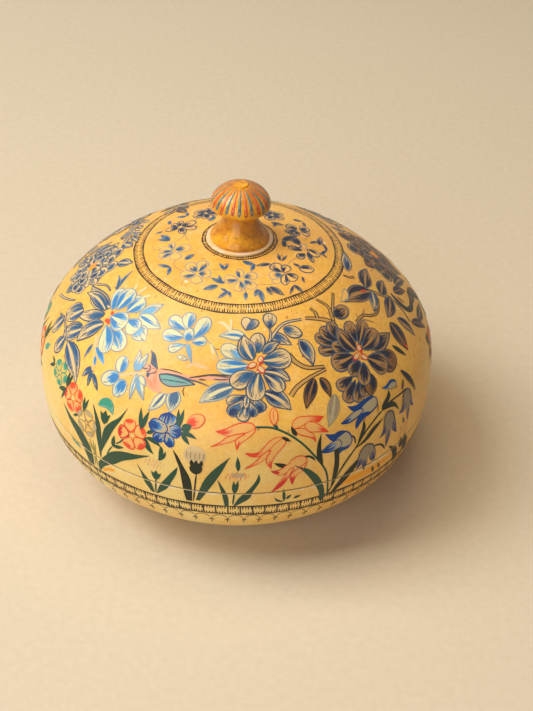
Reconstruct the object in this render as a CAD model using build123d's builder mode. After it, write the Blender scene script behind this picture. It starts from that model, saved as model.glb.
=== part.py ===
"""A round Kashmiri papier mache box: a flat-bottomed bowl, a domed lift-off lid and a turned knob.

Millimetres. +Z is up, on the box's own axis. The origin is the centre of the flat base.
"""

import os

from build123d import *

# The body, outside
belly_radius = 76.0  # the widest circle of the closed box
belly_height = 45.6  # of that circle above the base
lid_rise = 53.2  # from the widest circle up to the crown
foot_radius = 38.8  # of the flat that the bowl stands on
seam_drop = 6.6  # the mouth lies this far below the widest circle

# Outline of the lid: where the handles of its curve stand, as shares of its radius and its rise
crown_run = 0.41
shoulder_run = 0.624
shoulder_lift = 0.985
flank_run = 0.912
flank_lift = 0.365
belly_lift = 0.483

# Outline of the bowl: the same, as shares of its radius and its depth
belly_drop = 0.507
haunch_run = 0.942
haunch_drop = 0.741
foot_roll = 0.068

# Walls of moulded paper
lid_wall = 3.6
bowl_wall = 3.6
floor_wall = 4.2
mouth_bevel = 0.3  # the worn corner on each side of the seam

# Wooden hoops inside the two mouths, and the collar that the lid drops over
hoop_height = 8.0
lid_hoop_wall = 1.5
collar_wall = 2.0
collar_above = 6.0  # stands up into the lid
collar_lead = 0.8  # bevel that guides the lid on
slip_gap = 0.35  # round the collar
glue_line = 0.05  # between glued pieces that nest in each other

# The knob: three turned pieces, threaded on one peg
ledge_radius = 12.4
ledge_height = 0.8
ledge_round = 0.3
crown_trim = 0.35  # taken off the crown, to seat the ledge flat
stem_height = 13.6
stem_foot_radius = 10.7
stem_bulge = 0.85  # the bell swells this far past its foot
stem_waist_radius = 5.5
bell_toe_lift = 0.025  # handles of the bell's curve, as shares of the stem's height
bell_swell_lift = 0.25
bell_neck_lift = 0.32
head_radius = 11.1
head_dome = 8.2
head_lip = 0.6  # rounding under the head's edge
button_radius = 2.6
button_height = 0.6
button_seat = 0.3  # let into the top of the head
button_round = 0.2
peg_radius = 1.8
peg_tail = 1.0  # stands proud of the washer, inside the lid
washer_radius = 9.0
washer_height = 2.4

# Levels and radii worked out from them
seam_height = belly_height - seam_drop
crown_height = belly_height + lid_rise
lid_bore = belly_radius - lid_wall - lid_hoop_wall
collar_radius = lid_bore - slip_gap
ledge_base = crown_height - crown_trim
stem_base = ledge_base + ledge_height
head_base = stem_base + stem_height
button_base = head_base + head_lip + head_dome - button_seat
button_top = button_base + button_height
washer_top = crown_height - lid_wall - glue_line
washer_base = washer_top - washer_height
peg_base = washer_base - peg_tail
bore_radius = peg_radius + glue_line


def half_body(side, floor, crown):
    """Half of the closed body's section, shrunk by the walls given at its side, floor and crown."""
    radius = belly_radius - side
    rise = lid_rise - crown
    depth = belly_height - floor
    foot = foot_radius - side
    top = belly_height + rise
    bottom = belly_height - depth
    with BuildSketch() as half:
        with BuildLine():
            Bezier(
                (0, top),
                (crown_run * radius, top),
                (shoulder_run * radius, belly_height + shoulder_lift * rise),
                (flank_run * radius, belly_height + flank_lift * rise),
                (radius, belly_height + belly_lift * rise),
                (radius, belly_height),
            )
            Bezier(
                (radius, belly_height),
                (radius, belly_height - belly_drop * depth),
                (haunch_run * radius, belly_height - haunch_drop * depth),
                (foot + foot_roll * radius, bottom),
                (foot, bottom),
            )
            Line((foot, bottom), (0, bottom))
            Line((0, bottom), (0, top))
        make_face()
    return half.sketch


def ring(inner, outer, low, high, mode=Mode.ADD):
    """The section of a ring or disc round the axis, between two radii and two levels."""
    with Locations((inner, low)):
        Rectangle(outer - inner, high - low, align=(Align.MIN, Align.MIN), mode=mode)


def outer_rim(piece, end):
    """The widest circle of a turned piece among those at its lowest (0) or highest (-1) level."""
    return piece.edges().filter_by(GeomType.CIRCLE).group_by(Axis.Z)[end].sort_by(SortBy.RADIUS)[-1]


outside = half_body(0, 0, 0)
lid_hollow = half_body(lid_wall, floor_wall, lid_wall)
bowl_hollow = half_body(bowl_wall, floor_wall, lid_wall)
lid_lining = half_body(lid_wall + glue_line, floor_wall, lid_wall + glue_line)
bowl_lining = half_body(bowl_wall + glue_line, floor_wall, lid_wall)

# Lid shell: paper moulded thick, cut off at the seam, flattened on top and bored for the peg
with BuildPart() as lid_shell:
    with BuildSketch(Plane.XZ):
        add(outside)
        add(lid_hollow, mode=Mode.SUBTRACT)
        ring(bore_radius, belly_radius, seam_height, ledge_base, Mode.INTERSECT)
    revolve(axis=Axis.Z)
    chamfer(outer_rim(lid_shell, 0), mouth_bevel)

# Bowl shell: the lower part of the same moulding
with BuildPart() as bowl_shell:
    with BuildSketch(Plane.XZ):
        add(outside)
        add(bowl_hollow, mode=Mode.SUBTRACT)
        ring(0, belly_radius, 0, seam_height, Mode.INTERSECT)
    revolve(axis=Axis.Z)
    chamfer(outer_rim(bowl_shell, -1), mouth_bevel)

# Lid hoop: a thin wooden strip bent round inside the lid's mouth
with BuildPart() as lid_rim_hoop:
    with BuildSketch(Plane.XZ):
        ring(lid_bore, belly_radius, seam_height, seam_height + hoop_height)
        add(lid_lining, mode=Mode.INTERSECT)
    revolve(axis=Axis.Z)

# Bowl hoop: the same inside the bowl's mouth, filling the space behind the collar
with BuildPart() as bowl_rim_hoop:
    with BuildSketch(Plane.XZ):
        ring(collar_radius + glue_line, belly_radius, seam_height - hoop_height, seam_height)
        add(bowl_lining, mode=Mode.INTERSECT)
    revolve(axis=Axis.Z)

# Collar: glued inside the bowl's hoop, it stands up and centres the lid
with BuildPart() as locating_collar:
    with BuildSketch(Plane.XZ):
        ring(
            collar_radius - collar_wall,
            collar_radius,
            seam_height - hoop_height,
            seam_height + collar_above,
        )
        add(bowl_lining, mode=Mode.INTERSECT)
    revolve(axis=Axis.Z)
    chamfer(outer_rim(locating_collar, -1), collar_lead)

# Ledge: the thin disc that the stem stands on
with BuildPart() as knob_ledge:
    with BuildSketch(Plane.XZ):
        ring(bore_radius, ledge_radius, ledge_base, stem_base)
    revolve(axis=Axis.Z)
    fillet(outer_rim(knob_ledge, -1), ledge_round)

# Stem: a bell that sweeps in to a narrow waist under the head
with BuildPart() as knob_stem:
    bell_radius = stem_foot_radius + stem_bulge
    with BuildSketch(Plane.XZ):
        with BuildLine():
            Line((bore_radius, stem_base), (stem_foot_radius, stem_base))
            Bezier(
                (stem_foot_radius, stem_base),
                (bell_radius, stem_base + bell_toe_lift * stem_height),
                (bell_radius, stem_base + bell_swell_lift * stem_height),
                (stem_waist_radius, stem_base + bell_neck_lift * stem_height),
                (stem_waist_radius, head_base),
            )
            Line((stem_waist_radius, head_base), (bore_radius, head_base))
            Line((bore_radius, head_base), (bore_radius, stem_base))
        make_face()
    revolve(axis=Axis.Z)

# Head: a dome with a rounded lip and a flat underside, sunk at the top for the peg's button
with BuildPart() as knob_head:
    lip_level = head_base + head_lip
    with BuildSketch(Plane.XZ):
        with BuildLine():
            Line((0, head_base), (head_radius - head_lip, head_base))
            CenterArc((head_radius - head_lip, lip_level), head_lip, -90, 90)
            EllipticalCenterArc((0, lip_level), head_radius, head_dome, arc_size=90)
            Line((0, lip_level + head_dome), (0, head_base))
        make_face()
        ring(0, bore_radius, head_base, button_base, Mode.SUBTRACT)
        ring(0, button_radius + glue_line, button_base, button_top, Mode.SUBTRACT)
    revolve(axis=Axis.Z)

# Peg: a dowel from the button on top of the knob down to its tail inside the lid
with BuildPart() as knob_peg:
    with BuildSketch(Plane.XZ):
        ring(0, peg_radius, peg_base, button_top)
        ring(0, button_radius, button_base, button_top)
    revolve(axis=Axis.Z)
    fillet(outer_rim(knob_peg, -1), button_round)

# Washer: a wooden disc glued under the crown, round the peg's tail
with BuildPart() as peg_washer:
    with BuildSketch(Plane.XZ):
        ring(bore_radius, washer_radius, washer_base, washer_top)
        add(lid_lining, mode=Mode.INTERSECT)
    revolve(axis=Axis.Z)

pieces = {
    "bowl_shell": bowl_shell,
    "bowl_rim_hoop": bowl_rim_hoop,
    "locating_collar": locating_collar,
    "lid_shell": lid_shell,
    "lid_rim_hoop": lid_rim_hoop,
    "knob_ledge": knob_ledge,
    "knob_stem": knob_stem,
    "knob_head": knob_head,
    "knob_peg": knob_peg,
    "peg_washer": peg_washer,
}

os.makedirs("parts", exist_ok=True)
for name, piece in pieces.items():
    piece.part.label = name
    export_step(piece.part, f"parts/{name}.step")
    box = piece.part.bounding_box()
    print(f"{name}: {piece.part.volume:.0f} mm3, z {box.min.Z:.2f} to {box.max.Z:.2f}")
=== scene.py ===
"""Looks of a round Kashmiri papier mache box: lacquered shells, turned knob and naqashi painting.

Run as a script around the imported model. Lengths are in millimetres and become metres in the meshes.
A point on the box is given by turn (degrees round the axis from the front, positive to the right)
and down (millimetres along the outline from the crown). A motif is drawn on a flat spot, in
millimetres to the right and upwards, and laid on the curved body.
"""

import math
import random

import bmesh
import bpy
import numpy as np
from mathutils import Matrix, Vector


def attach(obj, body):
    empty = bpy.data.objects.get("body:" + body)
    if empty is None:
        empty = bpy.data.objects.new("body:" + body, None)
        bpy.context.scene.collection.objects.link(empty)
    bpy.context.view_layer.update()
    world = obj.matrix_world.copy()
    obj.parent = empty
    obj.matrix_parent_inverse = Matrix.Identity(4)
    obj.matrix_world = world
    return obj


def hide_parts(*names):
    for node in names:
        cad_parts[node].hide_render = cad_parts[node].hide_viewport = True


bl_info = {
    "name": "Kashmiri Papier Mache Box",
    "version": (1, 0, 0),
    "blender": (4, 5, 0),
    "location": "View3D > Sidebar > Painted Box",
    "description": "Builds the lacquered shells, the turned knob and the painted flowers of a round box",
    "category": "Object",
}

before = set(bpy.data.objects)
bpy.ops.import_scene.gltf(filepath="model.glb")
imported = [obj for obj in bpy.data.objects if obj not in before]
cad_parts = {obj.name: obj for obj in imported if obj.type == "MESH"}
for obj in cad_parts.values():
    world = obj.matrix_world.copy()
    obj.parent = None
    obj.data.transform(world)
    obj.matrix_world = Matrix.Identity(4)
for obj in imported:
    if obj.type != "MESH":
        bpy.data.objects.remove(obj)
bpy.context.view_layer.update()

MM = 0.001

# Outline of the closed box, the same curves as the solids have
BELLY_RADIUS = 76.0
BELLY_HEIGHT = 45.6
LID_RISE = 53.2
FOOT_RADIUS = 38.8
SEAM_HEIGHT = 39.0
WALL = 3.6
FLOOR_WALL = 4.2
LEDGE_SEAT = 98.43  # top of the lacquered lid, just under the knob's ledge
BORE_RADIUS = 1.85
MOUTH_BEVEL = 0.3
BASE_DISC = 0.5  # radius of the small disc that closes the middle of the base
PAINT_DEPTH = 0.25  # the ground lies this far inside the solids, so that the paint stays in them
ROWS_LID = 150
ROWS_BOWL = 70
ROWS_INSIDE = 44
ROUND_STEPS = 384
LID_STEPS = 400  # of the lid's outline, from the crown to the widest circle
BOWL_STEPS = 300
FINE_STEP = 0.8  # longest edge of a painted shape
LAYER = 0.004  # between the fill, the hatching and the line of one shape
ORDER = 0.010  # between one shape and the next that overlaps it

# Levels of paint above the ground, below and above the shapes that are stacked in order
FIRST_LIFT = 0.02
PATCH_LIFT = 0.022
INK_LIFT = 0.03
BAR_LIFT = 0.034
TOP_LIFT = PAINT_DEPTH - 0.03
DOT_LIFT = PAINT_DEPTH - 0.02


def bezier(points, count):
    """Points along one curve of any degree."""
    points = np.array(points, float)
    degree = len(points) - 1
    t = np.linspace(0, 1, count)[:, None]
    return sum(
        math.comb(degree, i) * t**i * (1 - t) ** (degree - i) * points[i] for i in range(degree + 1)
    )


def box_outline(side, floor, crown):
    """(radius, height) from the crown to the foot, shrunk by walls at the side, floor and crown."""
    radius = BELLY_RADIUS - side
    rise = LID_RISE - crown
    depth = BELLY_HEIGHT - floor
    foot = FOOT_RADIUS - side
    handles = ((0, 1), (0.41, 1), (0.624, 0.985), (0.912, 0.365), (1, 0.483), (1, 0))
    lid = bezier([(out * radius, up * rise) for out, up in handles], LID_STEPS + 1)
    handles = ((radius, 0), (radius, 0.507), (0.942 * radius, 0.741), (foot + 0.068 * radius, 1), (foot, 1))
    bowl = bezier([(out, -down * depth) for out, down in handles], BOWL_STEPS + 1)
    return np.concatenate([lid, bowl[1:]]) + np.array([0, BELLY_HEIGHT])


class Turned:
    """A turned surface: its outline, and points on it by turn and down."""

    def __init__(self, outline, hub):
        self.outline = outline
        self.hub = hub
        steps = np.diff(outline, axis=0)
        self.down = np.concatenate([[0], np.cumsum(np.hypot(*steps.T))])
        self.angle = np.arctan2(outline[:, 0], outline[:, 1] - hub)
        along = np.gradient(outline, self.down, axis=0)
        along /= np.linalg.norm(along, axis=1)[:, None]
        self.normal = np.stack([-along[:, 1], along[:, 0]], 1)

    def at(self, turn, down, lift=0.0):
        """Points and outward normals, in millimetres."""
        lines = (*self.outline.T, *self.normal.T)
        radius, height, out, up = (np.interp(down, self.down, line) for line in lines)
        a = np.radians(turn)
        radius = radius + lift * out
        height = height + lift * up
        points = np.stack([radius * np.sin(a), -radius * np.cos(a), height], -1)
        normals = np.stack([out * np.sin(a), -out * np.cos(a), up], -1)
        return points, normals

    def find(self, points):
        """Turn and down of points, seen from the hub on the axis."""
        turn = np.degrees(np.arctan2(points[..., 0], -points[..., 1]))
        angle = np.arctan2(np.hypot(points[..., 0], points[..., 1]), points[..., 2] - self.hub)
        return turn, np.interp(angle, self.angle, self.down)


BODY = Turned(box_outline(0, 0, 0), BELLY_HEIGHT)

# ---------------------------------------------------------------- colours


def linear(code):
    """An sRGB hex colour as linear values."""
    parts = [int(code[i : i + 2], 16) / 255 for i in (1, 3, 5)]
    return [p / 12.92 if p <= 0.04045 else ((p + 0.055) / 1.055) ** 2.4 for p in parts]


def colour(label, code, about):
    """A colour that a user can change."""
    return bpy.props.FloatVectorProperty(
        name=label, description=about, subtype="COLOR", size=3, min=0, max=1, default=linear(code)
    )


class NaqashiColours(bpy.types.PropertyGroup):
    """Pigments of the box, as they look under the amber varnish."""

    ground: colour("Ground", "#F4C25A", "Ochre ground of the whole box")
    ground_warm: colour("Warm ground", "#E8A846", "Ground where the varnish lies thicker")
    gesso: colour("Gesso", "#EFE4CF", "White priming that shows at chips and worn edges")
    inside: colour("Inside", "#2A1A12", "Plain dark lacquer inside and underneath")
    ink: colour("Ink", "#3A2E22", "Brown-black ink of the borders")
    # cream, straw, tan and bark as petal rims are partly one rim in changing light: cream on the flowers of the lit
    # left is partly painted light, straw, tan and bark on flowers further right are partly painted shade.
    cream: colour("Cream", "#E0D6A8", "Light rims of petals and leaves")
    straw: colour("Straw", "#DAC090", "Rims of the darker flowers")
    tan: colour("Tan", "#B08652", "Rims of the darkest flowers")
    bark: colour("Bark", "#8C6238", "Rims in the shade of the darkest flowers")
    lake: colour("Lake", "#2B5580", "Deep end of the blue hatching in the great flower")
    steel: colour("Steel", "#48688A", "Leaves of the wreath, greyer hatching")
    reed: colour("Reed", "#C49A58", "Thin wash on the boughs")
    haze: colour("Haze", "#A8926A", "First thin hatching over a petal")
    honey: colour("Honey", "#F2C06A", "Petals of the wreath, close to the ground")
    brick: colour("Brick", "#AC4630", "Red stripes of the knob, worn")
    verdigris: colour("Verdigris", "#4E6E74", "Grey-blue stripes of the knob, worn")
    pewter: colour("Pewter", "#968870", "Grey-brown bodies of the hanging bells")
    mist: colour("Mist", "#8C9AA0", "Fine blue-grey outlines")
    slate: colour("Slate", "#42546A", "Darker outlines")
    umber: colour("Umber", "#4A3A2E", "Brown outlines")
    sky: colour("Sky", "#68AADA", "Lightest blue of the hatching")
    cobalt: colour("Cobalt", "#3880C0", "Bright blue of the hatching")
    denim: colour("Denim", "#4A6A8E", "Middle blue")
    indigo: colour("Indigo", "#25355C", "Deep blue")
    night: colour("Night", "#1F2134", "Almost black blue")
    violet: colour("Violet", "#3F3F70", "Lobes of the hanging bells")
    royal: colour("Royal", "#0C3F86", "Strong blue of the lower flowers")
    ash: colour("Ash", "#B4A98A", "Grey bodies of the bellflowers")
    leaf: colour("Leaf", "#1F4D3C", "Green of the small leaves")
    blade: colour("Blade", "#2C4A38", "Dark green of the long blades")
    olive: colour("Olive", "#8A8448", "Thin yellowish stems")
    moss: colour("Moss", "#1E261C", "Blackish green")
    wing: colour("Wing", "#74A8A4", "Wing of the bulbul")
    teal: colour("Teal", "#3C957C", "Tulips and buds")
    vermilion: colour("Vermilion", "#E44C28", "Red outlines and loops")
    crimson: colour("Crimson", "#CE2A30", "Deeper red")
    salmon: colour("Salmon", "#EC9068", "Breast and tail of the bulbul")
    sage: colour("Sage", "#B9C178", "Pale edges of the tulips and green buds")
    dun: colour("Dun", "#B8A884", "Bodies of rubbed grey flowers")
    blush: colour("Blush", "#EDB466", "Bodies of the red flowers")
    faded: colour("Faded rose", "#E6A686", "Rubbed flowers")
    marigold: colour("Marigold", "#F0A21C", "Patches under the seam")


def length(label, value, about):
    """A length that a user can change, given in millimetres."""
    return bpy.props.FloatProperty(
        name=label, description=about, default=value * MM, min=0, precision=5, unit="LENGTH", subtype="DISTANCE"
    )


class NaqashiSizes(bpy.types.PropertyGroup):
    """Brush and border sizes."""

    line_width: length("Line", 0.48, "Width of the fine outlines")
    hatch_width: length("Hatch stroke", 0.52, "Width of one stroke of the hatching")
    hatch_pitch: length("Hatch spacing", 0.46, "Distance between strokes of the hatching")
    comb_pitch: length("Comb spacing", 0.94, "Distance between the teeth of the ink borders")
    border_line: length("Border line", 0.55, "Width of the border's ruled lines")
    bay: length("Ladder bay", 4.5, "Distance between the cross bars of the ladder border")
    scallop: length("Scallop", 5.9, "Width of one scallop under the ladder border")
    knob_stripes: bpy.props.IntProperty(
        name="Knob stripes", description="Painted stripes on the knob's head", default=28, min=0
    )


# Body, outline and three tones of hatching, the deepest first; a dash leaves one out
PALETTES = {
    # Light and shade painted into the palettes: lit, soft and pale, with cream rims, mist outlines and cobalt and
    # sky hatching, are for flowers on the lit left and carry painted light; half, dim, dusk and deep are darker
    # copies for flowers further right, with straw, tan and bark rims, slate and umber outlines and deeper hatching,
    # partly their own darker paint and partly painted shade.
    "lit": "cream mist cobalt cobalt sky",
    "soft": "cream mist denim denim mist",
    "pale": "cream mist sky sky mist",
    "half": "straw slate lake denim haze",
    "dim": "straw slate indigo steel haze",
    "dusk": "tan slate night night umber",
    "deep": "bark umber night night umber",
    # open and shade are one wreath palette: shade is its darker copy with slate outlines and night and indigo
    # hatching, painted shade where it is used on the wreath's right side.
    "open": "honey mist lake steel haze",
    "shade": "honey slate night indigo haze",
    # sprout is a darker copy of sprig, painted shade for the wreath's leaves on the right.
    "sprig": "steel - lake steel mist",
    "sprout": "slate - indigo slate haze",
    "green": "leaf - blade leaf leaf",
    "dark": "blade - blade blade leaf",
    "black": "moss - moss moss moss",
    "red": "blush vermilion vermilion vermilion salmon",
    "ruby": "blush crimson crimson crimson vermilion",
    "royal": "ash royal royal royal cobalt",
    "azure": "royal - royal royal cobalt",
    "violet": "pewter - indigo violet violet",
    "teal": "- teal teal teal sage",
    "jade": "teal - teal teal wing",
    "brook": "sky - cobalt cobalt sky",
    "puff": "straw - dun dun straw",
    "grey": "ash pewter pewter pewter dun",
    "ghost": "- haze dun dun haze",
    "twig": "straw slate straw slate tan",
    "bough": "reed umber reed umber straw",
    "white": "straw - cream mist cream",
    "ember": "marigold - salmon marigold marigold",
    "blush": "blush - blush salmon straw",
    "breast": "faded - faded salmon faded",
    "wing": "wing slate wing wing mist",
    "crest": "slate - slate indigo slate",
    "loop": "straw crimson straw straw straw",
}

SHADED = ("lit", "soft", "pale", "half", "dim", "dusk", "deep", "shade")
THIN = ("red", "ruby", "open", "loop", "ghost", "grey", "teal")

# How a shape swells from its root and closes at its tip
FORMS = {
    "round": (0.9, 0.5),
    "pear": (1.3, 0.5),
    "oval": (0.6, 0.6),
    "ball": (0.5, 0.5),
    "point": (0.7, 0.9),
    "leaf": (0.8, 1.15),
    "blade": (0.55, 1.2),
    "spike": (0.35, 1.0),
}

# Tongues of hatching in a shape: across from the left (1) to the right (-1), and along from the
# root (0) to the tip (1); the strokes start at the first end and fade towards the second
WASHES = {
    "bare": [],
    "one": [(0.8, -0.8, 0.05, 0.95)],
    "two": [(0.9, 0.14, 0.04, 0.93), (-0.14, -0.9, 0.04, 0.93)],
    "left": [(0.92, -0.15, 0.03, 0.97)],
    "right": [(0.15, -0.92, 0.03, 0.97)],
    "base": [(0.88, -0.88, 0.02, 0.72)],
    "tip": [(0.92, -0.92, 0.99, 0.55)],
    "deeptip": [(0.94, -0.94, 0.99, 0.3)],
    "brim": [(0.94, -0.94, 0.99, 0.7)],
    "full": [(0.96, -0.96, 0.0, 1.0)],
    "streak": [(0.3, -0.3, 0.03, 0.9)],
    "core": [(0.7, -0.7, 0.88, 0.25)],
    "most": [(0.97, -0.97, 1.0, 0.08)],
}


def pigments(palette):
    """Body, outline and tones of a palette, with None for what it leaves out."""
    body, line, *tones = [name if name != "-" else None for name in PALETTES[palette].split()]
    return body, line, tones


class Spot:
    """A flat spot on the box: millimetres to the right and up from a point, laid on the body."""

    def __init__(self, turn, down, tilt=0.0, size=1.0, body=BODY):
        a = math.radians(turn)
        t = math.radians(tilt)
        centre, normal = body.at(turn, down)
        east = np.array([math.cos(a), math.sin(a), 0.0])
        north = np.cross(normal, east)
        self.turn, self.down = turn, down
        self.body = body
        self.centre = centre
        self.right = (math.cos(t) * east - math.sin(t) * north) * size
        self.up = (math.sin(t) * east + math.cos(t) * north) * size
        self.size = size
        self.count = 0

    def twin(self, turn, down):
        """Another spot, a few degrees round and a few millimetres down from this one."""
        return Spot(self.turn + turn, self.down + down, body=self.body)

    def lay(self, flat):
        """Turn and down of flat points."""
        return self.body.find(self.centre + flat[:, :1] * self.right + flat[:, 1:] * self.up)

    def next_lift(self):
        """Height of the next shape, so that it covers those before it."""
        self.count += 1
        return min(FIRST_LIFT + self.count * ORDER, PAINT_DEPTH - 4 * LAYER)


class Wrap:
    """The whole box as a chart: turn in degrees and down in millimetres."""

    def __init__(self, body=BODY):
        self.body = body

    def lay(self, flat):
        """Turn and down as given."""
        return flat[:, 0], flat[:, 1]


def spline(points, step):
    """A smooth line through points, with about one point for each step."""
    points = np.array(points, float)
    if len(points) == 2:
        reach = np.linalg.norm(points[1] - points[0])
        t = np.linspace(0, 1, max(2, math.ceil(reach / step) + 1))[:, None]
        return points[0] * (1 - t) + points[1] * t
    padded = np.concatenate([[2 * points[0] - points[1]], points, [2 * points[-1] - points[-2]]])
    runs = []
    for a, b, c, d in zip(padded, padded[1:], padded[2:], padded[3:]):
        t = np.linspace(0, 1, max(2, math.ceil(np.linalg.norm(c - b) / step) + 1))[:-1, None]
        runs.append(
            0.5 * (2 * b + (c - a) * t + (2 * a - 5 * b + 4 * c - d) * t**2 + (3 * b - a - 3 * c + d) * t**3)
        )
    return np.concatenate(runs + [points[-1:]])


def across(path):
    """Unit vectors to the left of a path."""
    along = np.gradient(path, axis=0)
    along /= np.maximum(np.linalg.norm(along, axis=1), 1e-9)[:, None]
    return np.stack([-along[:, 1], along[:, 0]], 1)


class Painting:
    """Gathers painted shapes and makes one piece of them."""

    def __init__(self, scene, seed):
        self.sizes = scene.naqashi_sizes
        self.dice = random.Random(seed)
        self.points = []
        self.normals = []
        self.faces = []
        self.paints = []
        self.used = []
        self.total = 0

    def strip(self, place, rails, paint, lift):
        """Faces between neighbouring rails, an array of rails by points by two."""
        rows, columns, _ = rails.shape
        turn, down = place.lay(rails.reshape(-1, 2))
        points, normals = place.body.at(turn, down, lift - PAINT_DEPTH * (place.body is BODY))
        index = self.total + np.arange(rows * columns).reshape(rows, columns)
        faces = np.stack([index[:-1, :-1], index[1:, :-1], index[1:, 1:], index[:-1, 1:]], -1).reshape(-1, 4)
        if paint not in self.used:
            self.used.append(paint)
        self.points.append(points)
        self.normals.append(normals)
        self.faces.append(faces)
        self.paints.append(np.full(len(faces), self.used.index(paint)))
        self.total += rows * columns

    def ribbon(self, place, path, widths, paint, lift):
        """A band along a path of close points."""
        side = across(path) * np.maximum(widths, 0.08)[:, None] / 2
        self.strip(place, np.stack([path + side, path - side]), paint, lift)

    def stroke(self, place, points, width, paint, lift=None, ends=(0.25, 0.25)):
        """A brush stroke through a few points, thinner at its ends."""
        path = spline(points, FINE_STEP)
        t = np.linspace(0, 1, len(path))
        taper = np.minimum(1, np.minimum((t + 0.02) / (ends[0] + 1e-6), (1.02 - t) / (ends[1] + 1e-6)))
        if lift is None:
            lift = place.next_lift()
        self.ribbon(place, path, width * np.sqrt(taper), paint, lift)

    def twig(self, place, palette, width, points):
        """A stem with a pale middle and a fine line on both sides."""
        rim, line, _ = pigments(palette)
        path = spline(points, FINE_STEP)
        t = np.linspace(0, 1, len(path))
        widths = width * (1 - 0.45 * t)
        lift = place.next_lift()
        side = across(path)
        thin = np.full(len(path), self.sizes.line_width / MM * 0.85)
        if rim:
            self.ribbon(place, path, widths, rim, lift)
        if line:
            for hand in (1, -1):
                self.ribbon(place, path + hand * side * widths[:, None] / 2, thin, line, lift + 2 * LAYER)

    def shape(self, place, look, x0, y0, x1, y1, width, bend=0.0):
        """A petal or leaf from its root to its tip, in one of the forms."""
        palette, wash, form = look.split()
        swell, close = FORMS[form]
        root = np.array([x0, y0], float)
        axis = np.array([x1, y1], float) - root
        reach = np.linalg.norm(axis)
        left = np.array([-axis[1], axis[0]]) / reach
        peak = swell / (swell + close)
        top = peak**swell * (1 - peak) ** close

        def grid(s, c):
            s = np.clip(np.asarray(s, float), 0, 1)
            half = np.maximum(width / 2 * s**swell * (1 - s) ** close / top, 0.05)
            spine = root + axis * s[:, None] + left * (bend * 4 * s * (1 - s))[:, None]
            lead = axis + left * (bend * 4 * (1 - 2 * s))[:, None]
            lead /= np.linalg.norm(lead, axis=1)[:, None]
            side = np.stack([-lead[:, 1], lead[:, 0]], 1)
            return spine + side * (half * c)[:, None]

        self.fill(place, palette, wash, grid, width, reach)

    def lobe(self, place, look, left, right):
        """A shape between its left and its right edge, both given from root to tip."""
        palette, wash = look.split()
        edges = [spline(points, FINE_STEP / 2) for points in (left, right)]
        shares = []
        for edge in edges:
            run = np.concatenate([[0], np.cumsum(np.linalg.norm(np.diff(edge, axis=0), axis=1))])
            shares.append(run / run[-1])

        def grid(s, c):
            s = np.clip(np.asarray(s, float), 0, 1)
            a, b = [
                np.stack([np.interp(s, share, edge[:, k]) for k in (0, 1)], 1)
                for share, edge in zip(shares, edges)
            ]
            c = np.broadcast_to(np.asarray(c, float), s.shape)[:, None]
            return (a * (1 + c) + b * (1 - c)) / 2

        middle = np.linspace(0, 1, 9)
        width = np.linalg.norm(grid(middle, 1.0) - grid(middle, -1.0), axis=1).max()
        reach = max(np.linalg.norm(np.diff(edge, axis=0), axis=1).sum() for edge in edges)
        self.fill(place, palette, wash, grid, width, reach)

    def fill(self, place, palette, wash, grid, width, reach):
        """Body colour, tongues of hatching, a few fine lines at the tip and the outline."""
        rim, line, tones = pigments(palette)
        lift = place.next_lift()
        line_width = self.sizes.line_width / MM * (0.75 if palette in THIN else 1)
        s = (1 - np.cos(np.pi * np.linspace(0, 1, max(7, math.ceil(reach / FINE_STEP))))) / 2
        if rim:
            rails = np.stack([grid(s, c) for c in np.linspace(1, -1, 2 + math.ceil(width / 1.1))])
            self.strip(place, rails, rim, lift)
        for tongue in WASHES[wash]:
            self.hatch(place, grid, width, reach, tongue, tones, rim, lift)
        if line:
            if wash != "bare" and palette in SHADED:
                for i in range(round(width * 0.6)):
                    c = self.dice.uniform(-0.7, 0.7)
                    a = self.dice.uniform(0.55, 0.75)
                    path = grid(np.linspace(a, a + 0.2, 4), c)
                    self.ribbon(place, path, np.full(4, line_width * 0.5), line, lift + 1.8 * LAYER)
            edge = np.concatenate([grid(s, 1.0), grid(s[::-1][1:], -1.0)])
            beat = self.dice.uniform(0, 6.28)
            press = 1 + 0.28 * np.sin(np.linspace(beat, beat + 7, len(edge)))
            self.ribbon(place, edge, line_width * press, line, lift + 2 * LAYER)

    def hatch(self, place, grid, width, reach, tongue, tones, rim, lift):
        """A tongue of colour that deepens to its start in three steps, each with a streaky end."""
        left, right, start, end = tongue
        run = end - start
        span = (left - right) * width / 2
        centre = (left + right) / 2
        spread = (left - right) / 2
        wide = self.sizes.hatch_width / MM
        lean = self.dice.uniform(-0.6, 0.6)
        for step, (paint, far, broad) in enumerate(zip(tones[::-1], (0.9, 0.72, 0.44), (0.96, 0.8, 0.56))):
            shift = centre + lean * spread * (1 - broad)
            level = lift + LAYER * (0.5 + 0.4 * step)
            t = np.linspace(0, 1, max(5, math.ceil(reach * abs(run) * far / FINE_STEP)))
            close = np.sqrt(np.minimum(1, 5 * t + 0.3) * (1.001 - t**3))
            sides = np.linspace(1, -1, 2 + math.ceil(span * broad / 1.2))
            rows = [grid(start + far * run * t, shift + spread * broad * close * side) for side in sides]
            self.strip(place, np.stack(rows), paint, level)
            count = max(3, round(span * broad / (self.sizes.hatch_pitch / MM)))
            for i in range(count):
                q = 2 * (i + 0.5) / count - 1
                root = far * math.sqrt(1 - 0.75 * q * q)
                s = start + run * np.linspace(0.7 * root, min(0.99, root * self.dice.uniform(0.98, 1.3)), 5)
                body = wide * self.dice.uniform(0.5, 0.9) * np.array([0.9, 1, 0.9, 0.65, 0.3])
                self.ribbon(place, grid(s, shift - 0.95 * q * spread * broad), body, paint, level + 0.2 * LAYER)
        for i in range(round(span * 0.8) if rim and span > 1.5 else 0):
            s = start + run * np.linspace(self.dice.uniform(0.85, 1.0), self.dice.uniform(0.4, 0.7), 5)
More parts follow.
